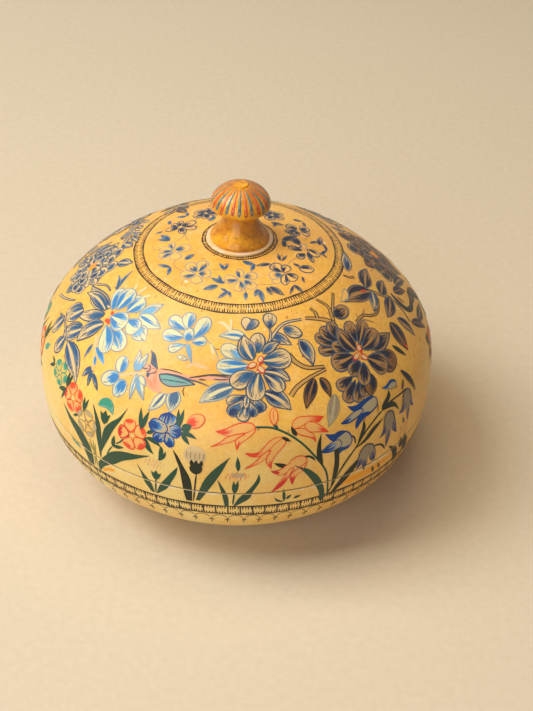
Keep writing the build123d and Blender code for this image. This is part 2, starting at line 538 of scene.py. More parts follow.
            path = grid(s, centre + spread * self.dice.uniform(-0.85, 0.85))
            self.ribbon(place, path, wide * np.array([0.5, 0.6, 0.5, 0.35, 0.15]), rim, lift + 1.75 * LAYER)

    def bloom(self, place, rows):
        """Shapes in painting order, each a look and its measures."""
        for look, *measures in rows:
            self.shape(place, look, *measures)

    def leaves(self, place, look, rows):
        """Shapes in painting order that share one look."""
        for measures in rows:
            self.shape(place, look, *measures)

    def mesh(self, name, materials):
        """The gathered faces as a mesh, all facing outwards."""
        points = np.concatenate(self.points)
        normals = np.concatenate(self.normals)
        faces = np.concatenate(self.faces)
        corners = points[faces]
        facing = np.cross(corners[:, 2] - corners[:, 0], corners[:, 3] - corners[:, 1])
        wrong = np.einsum("ij,ij->i", facing, normals[faces[:, 0]]) < 0
        faces[wrong] = faces[wrong][:, ::-1]
        mesh = bpy.data.meshes.new(name)
        mesh.from_pydata((points * MM).tolist(), [], faces.tolist())
        mesh.polygons.foreach_set("material_index", np.concatenate(self.paints))
        mesh.polygons.foreach_set("use_smooth", np.ones(len(faces), bool))
        for paint in self.used:
            mesh.materials.append(materials[paint])
        mesh.validate()
        return mesh

    def piece(self, name, body, keep=None):
        """The painting as a piece on a body; keep is 1 above the seam, -1 below it."""
        mesh = self.mesh(name, PAINTS)
        if keep:
            plane = (0, 0, (SEAM_HEIGHT + keep * MOUTH_BEVEL) * MM)
            work = bmesh.new()
            work.from_mesh(mesh)
            bmesh.ops.bisect_plane(
                work,
                geom=work.verts[:] + work.edges[:] + work.faces[:],
                plane_co=plane,
                plane_no=(0, 0, 1),
                clear_inner=keep > 0,
                clear_outer=keep < 0,
            )
            work.to_mesh(mesh)
            work.free()
        if not len(mesh.polygons):
            raise RuntimeError(f"{name} has no faces")
        return show(name, mesh, body)


def show(name, mesh, body):
    """Puts a mesh in the scene as a piece that rides on a body."""
    piece = bpy.data.objects.new(name, mesh)
    bpy.context.scene.collection.objects.link(piece)
    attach(piece, body)
    return piece


# ---------------------------------------------------------------- materials


def add(tree, kind, values=None, links=None, **settings):
    """A node with its settings, its fixed inputs and the links into it."""
    node = tree.nodes.new(kind)
    for key, value in settings.items():
        setattr(node, key, value)
    for socket, value in (values or {}).items():
        node.inputs[socket].default_value = value
    for socket, source in (links or {}).items():
        tree.links.new(source, node.inputs[socket])
    return node


def principled(name):
    """An empty material, its tree, its shader and the object's own coordinates in metres."""
    material = bpy.data.materials.new(name)
    material.use_nodes = True
    tree = material.node_tree
    tree.nodes.clear()
    shader = add(tree, "ShaderNodeBsdfPrincipled")
    add(tree, "ShaderNodeOutputMaterial", links={"Surface": shader.outputs[0]})
    place = add(tree, "ShaderNodeTexCoord").outputs["Object"]
    return material, tree, shader, place


def grain(tree, place, size, detail=2.0, rough=0.5, low=None, high=None, bottom=0.0, top=1.0):
    """Unevenness with features of a size in millimetres, from 0 to 1.

    With low and high, what lies between them is stretched to bottom and top, and the rest clamped.
    """
    values = {"Scale": 1 / (size * MM), "Detail": detail, "Roughness": rough}
    noise = add(tree, "ShaderNodeTexNoise", values, {"Vector": place}).outputs["Fac"]
    if low is None:
        return noise
    values = {"From Min": low, "From Max": high, "To Min": bottom, "To Max": top}
    return add(tree, "ShaderNodeMapRange", values, {"Value": noise}, clamp=True).outputs[0]


def glaze(tree, base, tint, *masks):
    """A tint laid over a base colour where all its masks are strong; both a socket or linear values."""
    mask = masks[0]
    for other in masks[1:]:
        mask = add(tree, "ShaderNodeMath", links={0: mask, 1: other}, operation="MULTIPLY").outputs[0]
    node = add(tree, "ShaderNodeMix", links={0: mask}, data_type="RGBA")
    for socket, colour_in in ((node.inputs[6], base), (node.inputs[7], tint)):
        if isinstance(colour_in, bpy.types.NodeSocket):
            tree.links.new(colour_in, socket)
        else:
            socket.default_value = (*colour_in, 1)
    return node.outputs[2]


def surface(tree, shader, base, gloss, *heights):
    """Colour, roughness and relief of a surface; each height is a source and its depth in millimetres."""
    if base:
        tree.links.new(base, shader.inputs["Base Color"])
    tree.links.new(gloss, shader.inputs["Roughness"])
    normal = None
    for source, depth in heights:
        below = {"Normal": normal} if normal else {}
        links = {"Height": source, **below}
        normal = add(tree, "ShaderNodeBump", {"Strength": 1.0, "Distance": depth * MM}, links).outputs[0]
        tree.links.new(normal, shader.inputs["Normal"])
        tree.links.new(normal, shader.inputs["Coat Normal"])


def varnish(shader, coat, coat_rough, level=0.5):
    """A brushed coat of old copal varnish over a ground that reflects at a level of its own."""
    fixed = {"IOR": 1.5, "Coat IOR": 1.5, "Coat Weight": coat, "Coat Roughness": coat_rough}
    for socket, value in {**fixed, "Specular IOR Level": level}.items():
        shader.inputs[socket].default_value = value


def ochre_lacquer(tones):
    """Ochre ground brushed over gesso on moulded paper, varnished by hand.

    The eye sees a warm satin yellow that drifts to amber where the varnish lies thick, with a painted
    sheen of pale yellow light on the lower left of the box, small white chips, brown specks, soft
    unevenness of the paper under the gloss, and a dark line at the seam with worn edges.
    """
    material, tree, shader, place = principled("ochre_lacquer_on_moulded_paper")
    drift = grain(tree, place, 46, 3, 0.55, 0.38, 0.68, 0.0, 0.75)
    base = glaze(tree, tones.ground, tones.ground_warm, drift)
    for tint, *patches in (
        ("#F6D050", 9, 4, 0.6, 0.45, 0.75, 0.0, 0.5),  # clouds of clear varnish
        ("#F6CE8E", 5, 5, 0.7, 0.5, 0.72, 0.0, 0.6),  # thinly brushed places
        ("#D9983E", 1.4, 4, 0.7, 0.42, 0.7, 0.0, 0.55),  # fibres of the paper
        ("#A8662A", 2.2, 2.5, 0.5, 0.69, 0.74),  # specks
    ):
        base = glaze(tree, base, linear(tint), grain(tree, place, *patches))
    base = glaze(tree, base, tones.gesso, grain(tree, place, 2.0, 1.5, 0.4, 0.765, 0.775))
    side, _, height = add(tree, "ShaderNodeSeparateXYZ", links={0: place}).outputs
    masks = []
    # The first two masks make a painted sheen of light: full below 50 mm, gone above 70 mm, strongest left of the
    # axis and weakest 55 mm right of it.
    for source, low, high, bottom, top in (
        (height, 70, 50, 0, 1),
        (side, 55, 0, 0.1, 0.85),
        (height, SEAM_HEIGHT - 0.05, SEAM_HEIGHT - 0.35, 0, 1),
        (height, SEAM_HEIGHT - 1.15, SEAM_HEIGHT - 0.8, 0, 1),
        (height, SEAM_HEIGHT + 0.55, SEAM_HEIGHT + 0.3, 0, 1),
        (height, SEAM_HEIGHT - 0.3, SEAM_HEIGHT - 0.05, 0, 1),
    ):
        values = {"From Min": low * MM, "From Max": high * MM, "To Min": bottom, "To Max": top}
        masks.append(add(tree, "ShaderNodeMapRange", values, {"Value": source}, clamp=True).outputs[0])
    for tint, pair, patches in (
        (linear("#EED88C"), masks[0:2], (16, 4, 0.6, 0.35, 0.65, 0.3, 1.0)),  # painted sheen of light: pale yellow on the left, lower than 50 to 70 mm
        (tones.gesso, masks[2:4], (6, 4, 0.7, 0.44, 0.56, 0.12, 0.8)),  # worn edge of the bowl
        (linear("#5A3C1A"), masks[4:6], (9, 3, 0.6, 0.35, 0.6, 0.7, 1.0)),  # dirt in the seam
    ):
        base = glaze(tree, base, tint, *pair, grain(tree, place, *patches))
    gloss = grain(tree, place, 5, 4, 0.6, 0.3, 0.75, 0.38, 0.55)
    surface(tree, shader, base, gloss, (grain(tree, place, 14), 0.35), (grain(tree, place, 1.3, 3, 0.6), 0.035))
    varnish(shader, 0.32, 0.34, 0.35)
    return material


def dark_lacquer(tones):
    """Dark lacquer brushed thinly inside and underneath: soft gloss with dull rubbed patches."""
    material, tree, shader, place = principled("dark_lacquer_brushed")
    worn = grain(tree, place, 12, 4, 0.6, 0.45, 0.8, 0.0, 0.35)
    base = glaze(tree, tones.inside, linear("#4A3324"), worn)
    gloss = grain(tree, place, 7, 3, 0.5, 0.3, 0.7, 0.32, 0.6)
    surface(tree, shader, base, gloss, (grain(tree, place, 2.2, 3, 0.6), 0.06))
    varnish(shader, 0.1, 0.3, 0.2)
    return material


def gum_paint(name, tint):
    """Pigment in gum, brushed on the ground under the varnish.

    The eye sees an opaque stroke with the varnish's gloss, slightly duller and grainy, because
    the pigment stands a little proud of the ground.
    """
    material, tree, shader, place = principled(f"gum_paint_{name}")
    shader.inputs["Base Color"].default_value = (*tint, 1)
    gloss = grain(tree, place, 2.4, 4, 0.65, 0.3, 0.7, 0.42, 0.6)
    surface(tree, shader, None, gloss, (grain(tree, place, 14), 0.35), (grain(tree, place, 0.7, 3, 0.6), 0.04))
    varnish(shader, 0.4, 0.32, 0.15)
    return material


def turned_lacquer(tones):
    """Turned wood under ochre lacquer: glossy, drifting to amber in patches, with fine turning rings."""
    material, tree, shader, place = principled("ochre_lacquer_on_turned_wood")
    drift = grain(tree, place, 7, 4, 0.6, 0.35, 0.7)
    base = glaze(tree, linear("#F2AC22"), linear("#BC7212"), drift)
    base = glaze(tree, base, linear("#8A4E16"), grain(tree, place, 2.2, 4, 0.7, 0.5, 0.75, 0.0, 0.7))
    gloss = grain(tree, place, 3, 3, 0.5, 0.3, 0.7, 0.24, 0.4)
    values = {"Scale": 1 / (0.9 * MM) / 20, "Distortion": 0.8, "Detail": 2.0}
    rings = add(tree, "ShaderNodeTexWave", values, {"Vector": place}, bands_direction="Z").outputs["Fac"]
    surface(tree, shader, base, gloss, (rings, 0.012), (grain(tree, place, 1.8, 3), 0.03))
    varnish(shader, 0.55, 0.14, 0.1)
    return material


def rubbed_lacquer(tones):
    """Ochre lacquer blended in patches with the gesso colour: a pale cream ring, paler than the rest of the knob."""
    material, tree, shader, place = principled("ochre_lacquer_rubbed_to_gesso")
    base = glaze(tree, tones.ground, tones.gesso, grain(tree, place, 3.5, 4, 0.6, 0.35, 0.65, 0.25, 0.8))
    surface(tree, shader, base, grain(tree, place, 5, 3, 0.5, 0.3, 0.7, 0.3, 0.45))
    varnish(shader, 0.5, 0.2)
    return material


def bent_wood(tones):
    """Thin split willow bent to a hoop: pale brown, grain along the hoop, no varnish."""
    material, tree, shader, place = principled("willow_bent_and_scraped")
    stretched = add(tree, "ShaderNodeMapping", {"Scale": (1, 1, 9)}, {"Vector": place}).outputs[0]
    streaks = (9, 5, 0.65)
    base = glaze(tree, linear("#B98A58"), linear("#7E5430"), grain(tree, stretched, *streaks, 0.3, 0.7))
    gloss = grain(tree, stretched, *streaks, 0.3, 0.7, 0.5, 0.75)
    surface(tree, shader, base, gloss, (grain(tree, stretched, *streaks), 0.05))
    return material


PAINTS = {}
FINISHES = {}


def make_finishes(scene):
    """All materials of the box, kept by name."""
    tones = scene.naqashi_colours
    for name in tones.bl_rna.properties.keys():
        if name not in ("rna_type", "name"):
            PAINTS[name] = gum_paint(name, tuple(getattr(tones, name)))
    for maker in (ochre_lacquer, dark_lacquer, turned_lacquer, rubbed_lacquer, bent_wood):
        FINISHES[maker.__name__] = maker(tones)


# ---------------------------------------------------------------- turned bodies


def revolve(name, outline, finishes, marks, hub=None):
    """A mesh turned from a closed outline in millimetres; marks gives the finish of each side.

    The side numbered hub runs up the middle: it is left out, and a small disc closes each end.
    """
    outline = np.array(outline, float)
    a = np.linspace(0, 2 * np.pi, ROUND_STEPS, endpoint=False)
    count = len(outline)
    radius = outline[:, :1]
    points = np.stack([radius * np.sin(a), -radius * np.cos(a), outline[:, 1:] + 0 * a], -1)
    near = np.arange(count)
    after = (near + 1) % count
    spin = np.arange(ROUND_STEPS)
    turned = (spin + 1) % ROUND_STEPS
    cell = near[:, None] * ROUND_STEPS
    below = after[:, None] * ROUND_STEPS
    faces = np.stack([cell + spin, below + spin, below + turned, cell + turned], -1)
    marks = np.array(marks)
    discs = []
    if hub is not None:
        discs = [(cell[hub] + spin[::-1]).tolist(), (below[hub] + spin).tolist()]
        faces, marks = np.delete(faces, hub, 0), np.delete(marks, hub)
    faces = faces.reshape(-1, 4).tolist() + discs
    mesh = bpy.data.meshes.new(name)
    mesh.from_pydata((points.reshape(-1, 3) * MM).tolist(), [], faces)
    marks = np.append(np.repeat(marks, ROUND_STEPS), [1] * len(discs)).astype(int)
    mesh.polygons.foreach_set("material_index", marks)
    mesh.polygons.foreach_set("use_smooth", np.ones(len(faces), bool))
    for finish in finishes:
        mesh.materials.append(finish)
    mesh.set_sharp_from_angle(angle=math.radians(30))
    return mesh


def resample(outline, count):
    """The same line with evenly spaced points."""
    down = np.concatenate([[0], np.cumsum(np.hypot(*np.diff(outline, axis=0).T))])
    at = np.linspace(0, down[-1], count)
    return np.stack([np.interp(at, down, outline[:, i]) for i in (0, 1)], 1)


def stretch_of(outline, high, low):
    """The part of an outline between two heights, with its ends exactly there."""
    radius = [float(np.interp(-level, -outline[:, 1], outline[:, 0])) for level in (high, low)]
    inside = outline[(outline[:, 1] < high) & (outline[:, 1] > low)]
    return np.concatenate([[[radius[0], high]], inside, [[radius[1], low]]])


def lacquered_shells():
    """The lid's and the bowl's shells, ochre outside and dark inside."""
    outside = box_outline(PAINT_DEPTH, PAINT_DEPTH, PAINT_DEPTH)
    inside = box_outline(WALL, FLOOR_WALL, WALL)
    finishes = [FINISHES["ochre_lacquer"], FINISHES["dark_lacquer"]]
    rim = float(np.interp(-SEAM_HEIGHT, -outside[:, 1], outside[:, 0]))
    flat = float(np.interp(-LEDGE_SEAT, -outside[: LID_STEPS + 1, 1], outside[: LID_STEPS + 1, 0]))
    hollow_top = inside[0, 1]

    lid_out = resample(stretch_of(outside, LEDGE_SEAT, SEAM_HEIGHT + MOUTH_BEVEL), ROWS_LID)
    lid_in = resample(stretch_of(inside, hollow_top - 0.001, SEAM_HEIGHT), ROWS_INSIDE)[::-1]
    lid_in[-1] = (BORE_RADIUS, hollow_top)
    top = [(BORE_RADIUS, LEDGE_SEAT), ((BORE_RADIUS + flat) / 2, LEDGE_SEAT)]
    lid = np.concatenate([top, lid_out, [(rim - MOUTH_BEVEL, SEAM_HEIGHT)], lid_in])
    marks = [0] * (len(top) + len(lid_out)) + [1] * (1 + len(lid_in))
    lid_piece = show("lid_skin", revolve("lid_skin", lid, finishes, marks), "lid")
    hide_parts("lid_shell")

    low = SEAM_HEIGHT - MOUTH_BEVEL
    bowl_out = resample(stretch_of(outside, low, PAINT_DEPTH), ROWS_BOWL)
    bowl_out[-1, 1] = 0.0
    bowl_in = resample(stretch_of(inside, SEAM_HEIGHT, FLOOR_WALL), ROWS_INSIDE)[::-1]
    foot = bowl_out[-1, 0]
    base = [(foot * 0.6, 0.0), (BASE_DISC, 0.0)]
    floor = [(BASE_DISC, FLOOR_WALL), (bowl_in[0, 0] * 0.6, FLOOR_WALL)]
    bowl = np.concatenate([bowl_out, base, floor, bowl_in, [(rim - MOUTH_BEVEL, SEAM_HEIGHT)]])
    marks = [0] * (len(bowl_out) - 1) + [1] * (1 + len(base) + len(floor) + len(bowl_in)) + [0]
    hub = len(bowl_out) + len(base) - 1
    bowl_piece = show("bowl_skin", revolve("bowl_skin", bowl, finishes, marks, hub), "bowl")
    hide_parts("bowl_shell")


class PaintShells(bpy.types.Operator):
    """Build the lid's and the bowl's lacquered shells"""

    bl_idname = "naqashi.shells"
    bl_label = "Lacquered shells"

    def execute(self, context):
        make_finishes(context.scene)
        lacquered_shells()
        return {"FINISHED"}


class FitLinings(bpy.types.Operator):
    """Give the hoops, the collar and the washer their bent wood"""

    bl_idname = "naqashi.linings"
    bl_label = "Wooden linings"

    def execute(self, context):
        for name in ("bowl_rim_hoop", "locating_collar", "lid_rim_hoop", "peg_washer"):
            dress(name, FINISHES["bent_wood"])
        return {"FINISHED"}


def dress(name, finish):
    """Gives a solid of the frame its finish."""
    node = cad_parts[name]
    node.data.materials.clear()
    node.data.materials.append(finish)


HEAD_RADIUS = 11.1
HEAD_DOME = 8.2
HEAD_LIP_LEVEL = 113.45
STRIPE_START = 2.9  # down the head from its top, just outside the button
STRIPE_END = 14.9


def head_outline():
    """(radius, height) of the knob's dome, from the button to the widest edge."""
    a = np.linspace(0, math.pi / 2, 121)
    return np.stack([HEAD_RADIUS * np.sin(a), HEAD_LIP_LEVEL + HEAD_DOME * np.cos(a)], 1)


def knob_stripes(scene):
    """Red and grey-blue stripes down the knob's head, wider below, fading at the rim."""
    art = Painting(scene, 28)
    chart = Wrap(Turned(head_outline(), HEAD_LIP_LEVEL - 4))
    count = scene.naqashi_sizes.knob_stripes
    for i in range(count):
        turn = 360 / count * i + art.dice.uniform(-1.2, 1.2)
        paints = ("brick", "vermilion", "salmon") if i % 2 else ("verdigris", "slate", "wing")
        stop = STRIPE_END + art.dice.uniform(-0.9, 0.6)
        for step, (paint, share, shift) in enumerate(
            ((paints[0], 0.5, 0.0), (paints[1], 0.16, 0.08), (paints[2], 0.16, -0.1))
        ):
            down = np.linspace(STRIPE_START + art.dice.uniform(0, 0.4) + step * 0.6, stop - step * 1.4, 16)
            t = np.linspace(0, 1, 16)
            half = 180 / count * share * (0.6 + 0.55 * t) * np.sqrt(np.minimum(1, (1.02 - t) * 9))
            middle = turn + 360 / count * shift + 0.5 * np.sin(3 * t + i)
            rails = np.stack([np.stack([middle - half, down], 1), np.stack([middle + half, down], 1)])
            art.strip(chart, rails, paint, FIRST_LIFT + step * 0.012)
    art.piece("knob_stripes", "lid")


class TurnKnob(bpy.types.Operator):
    """Finish the knob's turned pieces and paint its stripes"""

    bl_idname = "naqashi.knob"
    bl_label = "Turned knob"

    def execute(self, context):
        for name in ("knob_stem", "knob_head", "knob_peg"):
            dress(name, FINISHES["turned_lacquer"])
        dress("knob_ledge", FINISHES["rubbed_lacquer"])
        knob_stripes(context.scene)
        return {"FINISHED"}


# ---------------------------------------------------------------- ink borders

RING_OUTER = 40.2
RING_INNER = 36.5
TICK_RING_OUTER = 13.9
TICK_RING_INNER = 12.7
LADDER_TOP = 116.8
LADDER_BOTTOM = 121.7


def radius_at(down):
    """Radius of the box at a place down its outline."""
    return float(np.interp(down, BODY.down, BODY.outline[:, 0]))


def ruled(art, chart, down, width, wobble=0.12):
    """A hand-ruled circle round the box, pressed more in places."""
    turn = np.linspace(0, 360, 541)
    a = np.radians(turn)
    first, second = art.dice.uniform(0, 6), art.dice.uniform(0, 6)
    line = down + wobble * (np.sin(5 * a + first) + 0.6 * np.sin(13 * a + second))
    half = width / 2 * (1 + 0.22 * np.sin(17 * a + second) + 0.12 * np.sin(41 * a + first))
    rails = np.stack([np.stack([turn, line - half], 1), np.stack([turn, line + half], 1)])
    art.strip(chart, rails, "ink", INK_LIFT)


def comb(art, chart, down, reach, pitch, width):
    """Fine teeth round the box that stand on a ruled line; reach is negative when they point up."""
    radius = radius_at(down)
    count = round(2 * math.pi * radius / pitch)
    degree = 180 / (math.pi * radius)
    for i in range(count):
        turn = (i + art.dice.uniform(-0.16, 0.16)) * 360 / count
        lean = art.dice.uniform(-0.14, 0.14) * degree
        tall = reach * art.dice.uniform(0.72, 1.12)
        half = width / 2 * degree * art.dice.uniform(0.8, 1.15)
        path = ((turn, down), (turn + lean, down + tall))
        rails = np.array([[(x - half, y), (x + half, y)] for x, y in path])
        rails[1, :, 0] = path[1][0] + np.array([-0.5, 0.5]) * half
        art.strip(chart, rails, "ink", INK_LIFT)


def scallops(art, chart, down, span):
    """Arcs hung in a row under the ladder, with a small forked tail at each meeting."""
    radius = radius_at(down)
    count = round(2 * math.pi * radius / span)
    step = 360 / count
    degree = 180 / (math.pi * radius)
    for i in range(count):
        turn = step * i + art.dice.uniform(-0.25, 0.25)
        rise = art.dice.uniform(3.1, 3.6)
        t = np.linspace(0, 1, 13)
        arc = np.stack([turn + step * t, down + rise * (1 - np.sqrt(np.maximum(0, 1 - (2 * t - 1) ** 2)))], 1)
        half = 0.26 * (0.7 + 0.4 * np.abs(2 * t - 1))
        rails = np.stack([arc - np.stack([0 * t, half], 1), arc + np.stack([0 * t, half], 1)])
        art.strip(chart, rails, "ink", INK_LIFT)
        foot = down + rise - 0.3
        for lean, tall in ((0.0, 4.6), (-1.0, 1.8), (1.0, 1.8)):
            tail = np.array([(turn, foot - 0.2 * abs(lean)), (turn + lean * degree, foot + tall * 0.8)])
            side = np.array([0.24 * degree, 0])
            art.strip(chart, np.stack([tail - side, tail + side]), "ink", BAR_LIFT)


class InkBorders(bpy.types.Operator):
    """Draw the comb ring, the tick ring, the ladder and the scallops in ink"""

    bl_idname = "naqashi.borders"
    bl_label = "Ink borders"

    def execute(self, context):
        sizes = context.scene.naqashi_sizes
        pitch = sizes.comb_pitch / MM
        line = sizes.border_line / MM
        chart = Wrap()
        art = Painting(context.scene, 3)
        ruled(art, chart, RING_INNER, line)
        ruled(art, chart, RING_OUTER, line)
        comb(art, chart, RING_INNER, 1.75, pitch, 0.52)
        comb(art, chart, RING_OUTER, -1.75, pitch, 0.52)
        art.piece("comb_ring", "lid")
        art = Painting(context.scene, 4)
        ruled(art, chart, TICK_RING_OUTER, line, 0.05)
        ruled(art, chart, TICK_RING_INNER, line * 0.7, 0.05)
        comb(art, chart, TICK_RING_INNER, 1.2, pitch * 0.95, 0.45)
        art.piece("tick_ring", "lid")
        art = Painting(context.scene, 5)
        ruled(art, chart, LADDER_TOP, line * 1.5)
        ruled(art, chart, LADDER_BOTTOM, line * 1.5)
        comb(art, chart, LADDER_TOP, 1.85, pitch, 0.6)
        comb(art, chart, LADDER_BOTTOM, -1.85, pitch, 0.6)
        bays = round(2 * math.pi * radius_at(LADDER_TOP) / (sizes.bay / MM))
        for turn in np.arange(0, 360, 360 / bays):
            bar = ((turn, LADDER_TOP), (turn + 0.2, LADDER_BOTTOM))
            art.stroke(chart, bar, 0.42, "ink", BAR_LIFT, (0.01, 0.01))
        scallops(art, chart, LADDER_BOTTOM + 0.8, sizes.scallop / MM)
        art.piece("ladder_border", "bowl")
        return {"FINISHED"}


# ---------------------------------------------------------------- crown wreath


def rosette(art, spot, look, x, y, radius, start=90.0, petals=5, share=0.9, heart=0.14, last=None):
    """A simple open flower: like petals round a point; the last one may look different."""
    for i in range(petals):
        a = math.radians(start + 360 / petals * i)
        dx, dy = radius * math.cos(a), radius * math.sin(a)
        petal = last if last and i == petals - 1 else look
        art.shape(spot, petal, x + heart * dx, y + heart * dy, x + dx, y + dy, radius * share)


# Middle, radius and first petal's angle of each flower round the crown
WREATH_FLOWERS = ((-14, 19.5, 5.6, 70), (0.5, 24, 5.4, 90), (12, 20, 5.2, 110))

# Each row: palette, wash and form; root; tip; width; bow to the left. In painting order.
WREATH_PETALS = (
    ("open left oval", 1.2, -24.8, 0.6, -19.6, 3), ("open base round", 2.6, -24.8, 7.2, -22.4, 4.4),
    ("open base round", 2.8, -26, 6.9, -30.4, 4), ("open left round", 1.2, -26.6, 0.9, -32.4, 4.2),
    ("open left round", 0.4, -26, -4.9, -25.7, 4.6), ("open base round", -15.4, -21.6, -18.8, -16.6, 4.6),
    ("open right round", -14.7, -21.6, -12.2, -15.2, 4.4), ("open left round", -15.8, -23, -21.7, -23.2, 4.8),
    ("open base round", -14.5, -22.6, -9.9, -23.2, 4.8), ("open bare round", -15.2, -23.8, -15.5, -28.2, 4.6),
    ("shade left round", 16.8, -19.6, 12.6, -15.6, 5), ("shade left round", 17.3, -19.8, 18.6, -15.4, 4),
    ("open bare round", 16.6, -22.4, 14, -26.4, 3.6), ("open base round", 16.8, -21.2, 11.9, -22.6, 4.6),
    ("shade left oval", 18, -20.8, 18.6, -26.8, 3.6), ("shade left round", 18.4, -20.4, 22.9, -23, 4.6),
    ("open left round", -25.2, -6.6, -26.2, -2.2, 2.8), ("open left round", -25.2, -7.8, -31, -6.2, 4.4),
    ("open left round", -25.4, -9, -31.4, -10.4, 3.8), ("open bare round", -24.5, -8.8, -23.6, -13.7, 4.8),
    ("open base round", -24.3, -7.4, -18.2, -6.4, 4.8), ("shade base oval", -24.4, 8.4, -29.9, 8, 3.2),
    ("shade left oval", -24.6, 9.4, -27.2, 12.8, 3), ("shade one oval", -24, 9.8, -23.4, 14, 2.8),
    ("shade base round", -22.8, 9.6, -17.4, 12.4, 3.8), ("shade left round", -22.4, 8.6, -16.8, 7, 3.6),
    ("shade one oval", -23.2, 8, -21.4, 3.2, 3.2), ("shade one round", 22, 10.4, 17.6, 12.6, 4.4),
    ("shade one round", 23.4, 10, 26.4, 14, 4.6), ("shade left round", 23.6, 9, 27.2, 7.8, 3.6),
    ("shade one oval", 21.8, 9, 17, 7.2, 3.4), ("shade one oval", 22, 8.6, 21.2, 5.2, 2.8),
    ("shade bare round", 23.6, -2.4, 17.2, -0.6, 4.4), ("shade full round", 24, -4.6, 18.4, -3.6, 3),
    ("shade full round", 25.2, -6.4, 22.6, -9.8, 3.4), ("shade full oval", 26.4, -5.2, 29.2, -10.8, 2),
    ("shade left round", 26, -3.2, 31.8, -5.6, 4.4), ("open bare oval", 24.8, -3.4, 24.8, 0.4, 2.2),
    # the shade full leaves from (22.8, -0.8) on lie right of the knob; their near-black is partly their own dark
    # paint and partly the knob's painted shadow.
    ("shade left oval", 23.4, -16, 29.8, -15.2, 4.4), ("shade full leaf", 22.8, -0.8, 19.2, 4.8, 3.2),
    ("shade full leaf", 16.9, -3.8, 16.4, 1.4, 1.5), ("shade full leaf", 16.2, 0.6, 21.8, 5, 2.6),
    ("shade full leaf", 31.4, 2.4, 32.4, 8.8, 2.4), ("shade full leaf", 33, 3.6, 34.6, -1.4, 1.2, 1),
    ("shade full leaf", 34.6, -0.8, 32, -4.4, 1.2),
)

WREATH_STEMS = (
    ((7, -28), (12, -27.5), (16, -25.5), (18, -22)), ((-4, -21), (-8, -20.5), (-12, -21)),
    ((-23, -12), (-24.5, -16.5), (-22, -20), (-18, -22)), ((-25, -2), (-22, 0.5), (-20.5, 4.5)),
    ((-18.5, -3), (-20.5, 1), (-21, 6)), ((-35, -2), (-33, -5.5), (-30, -5)), ((-19, 13), (-16, 15.5), (-15, 18)),
    ((26, 13), (26.5, 8), (25, 2)), ((27, 1.4), (29.6, 3), (31.6, 3.4)), ((24, -8), (20, -12), (18, -16)),
    ((3.5, -30.5), (3.6, -33)), ((-21, -26), (-21.5, -29.5)),
)

# Root, tip and width
WREATH_LEAVES = (
    (-7, -29.5, -13, -31.8, 2.8), (-4.5, -28.2, -10, -25.2, 2.4), (-6, -28, -6.8, -23.4, 1.6),
    (-3, -32.5, -7.4, -37, 1.9), (-3, -32.5, -2, -36, 1.5), (-3.2, -33, -6.4, -30.6, 1.4),
    (3.6, -32.5, 3.8, -37.4, 1.8), (8.2, -30.5, 7.2, -35, 2.2), (8.8, -30.8, 11, -38, 2.3),
    (11.5, -29, 14, -33.4, 2.3), (12.5, -28.6, 19, -32.8, 3), (22, -26.5, 21, -32, 1.5), (22, -26, 27, -29.8, 2),
    (1.5, -15, 7, -17.4, 2.4), (12, -15.4, 6.4, -17.4, 2.2), (6, -17, 4.9, -20.8, 1.8),
    (-5, -20.5, -6.8, -16.4, 1.6), (-5, -20.5, -3.4, -16.8, 1.5), (-20.2, -14, -16.4, -11, 2.4),
    (-26, -18, -32, -15.4, 1.9), (-26, -18, -27.4, -22.8, 2), (-27, -0.5, -31.6, 5, 3), (-27, -0.5, -33, 2, 2),
    (-28.5, 13, -29.2, 17, 2), (-22, 18, -26.4, 19.4, 2.4), (-21.6, 18.4, -22, 23, 1.7), (-31, 7.6, -34.6, 7.2, 1.5),
    (-10, 16, -12.4, 12, 2.2), (-6, 20, -8, 25.5, 2), (5, 27, 8.5, 23.5, 2), (6, 19, 4.4, 15.6, 1.9),
    (20.5, 18.8, 25, 19, 2.4), (25, 18.5, 25.6, 13.5, 1.7), (11.5, 13, 16.8, 12, 2.4), (13.5, 12.6, 12.4, 9.6, 1.6),
    (21, 5.6, 16.4, 8, 2), (27.2, 1.8, 31.4, 5, 1.6), (33, -4, 35.6, -5.2, 1.2), (20.6, -13.8, 24.8, -15.2, 1.5),
    (25, -20.6, 26.4, -24.2, 1.3), (15.6, -13, 14.4, -8.4, 1.5), (16.2, -13, 18.2, -9, 1.3),
)


class CrownWreath(bpy.types.Operator):
    """Paint the wreath of small blue flowers round the knob"""

    bl_idname = "naqashi.wreath"
    bl_label = "Crown wreath"

    def execute(self, context):
        art = Painting(context.scene, 11)
        spot = Spot(0, 0)
        for points in WREATH_STEMS:
            art.stroke(spot, points, 0.34, "haze", FIRST_LIFT)
        for x, y, radius, start in WREATH_FLOWERS:
            rosette(art, spot, "shade one round", x, y, radius, start, share=0.8)
            spot.count = 0
        for i, row in enumerate(WREATH_PETALS):
            art.bloom(spot, (row,))
            spot.count = (i + 1) % 6
        for measures in WREATH_LEAVES:
            spot.count = 5
            # painted shade: leaves right of x 11 mm take sprout, the darker copy of sprig.
            art.shape(spot, "sprout one leaf" if measures[0] > 11 else "sprig one leaf", *measures)
        art.piece("crown_wreath", "lid")
        return {"FINISHED"}


# ---------------------------------------------------------------- shoulder flowers

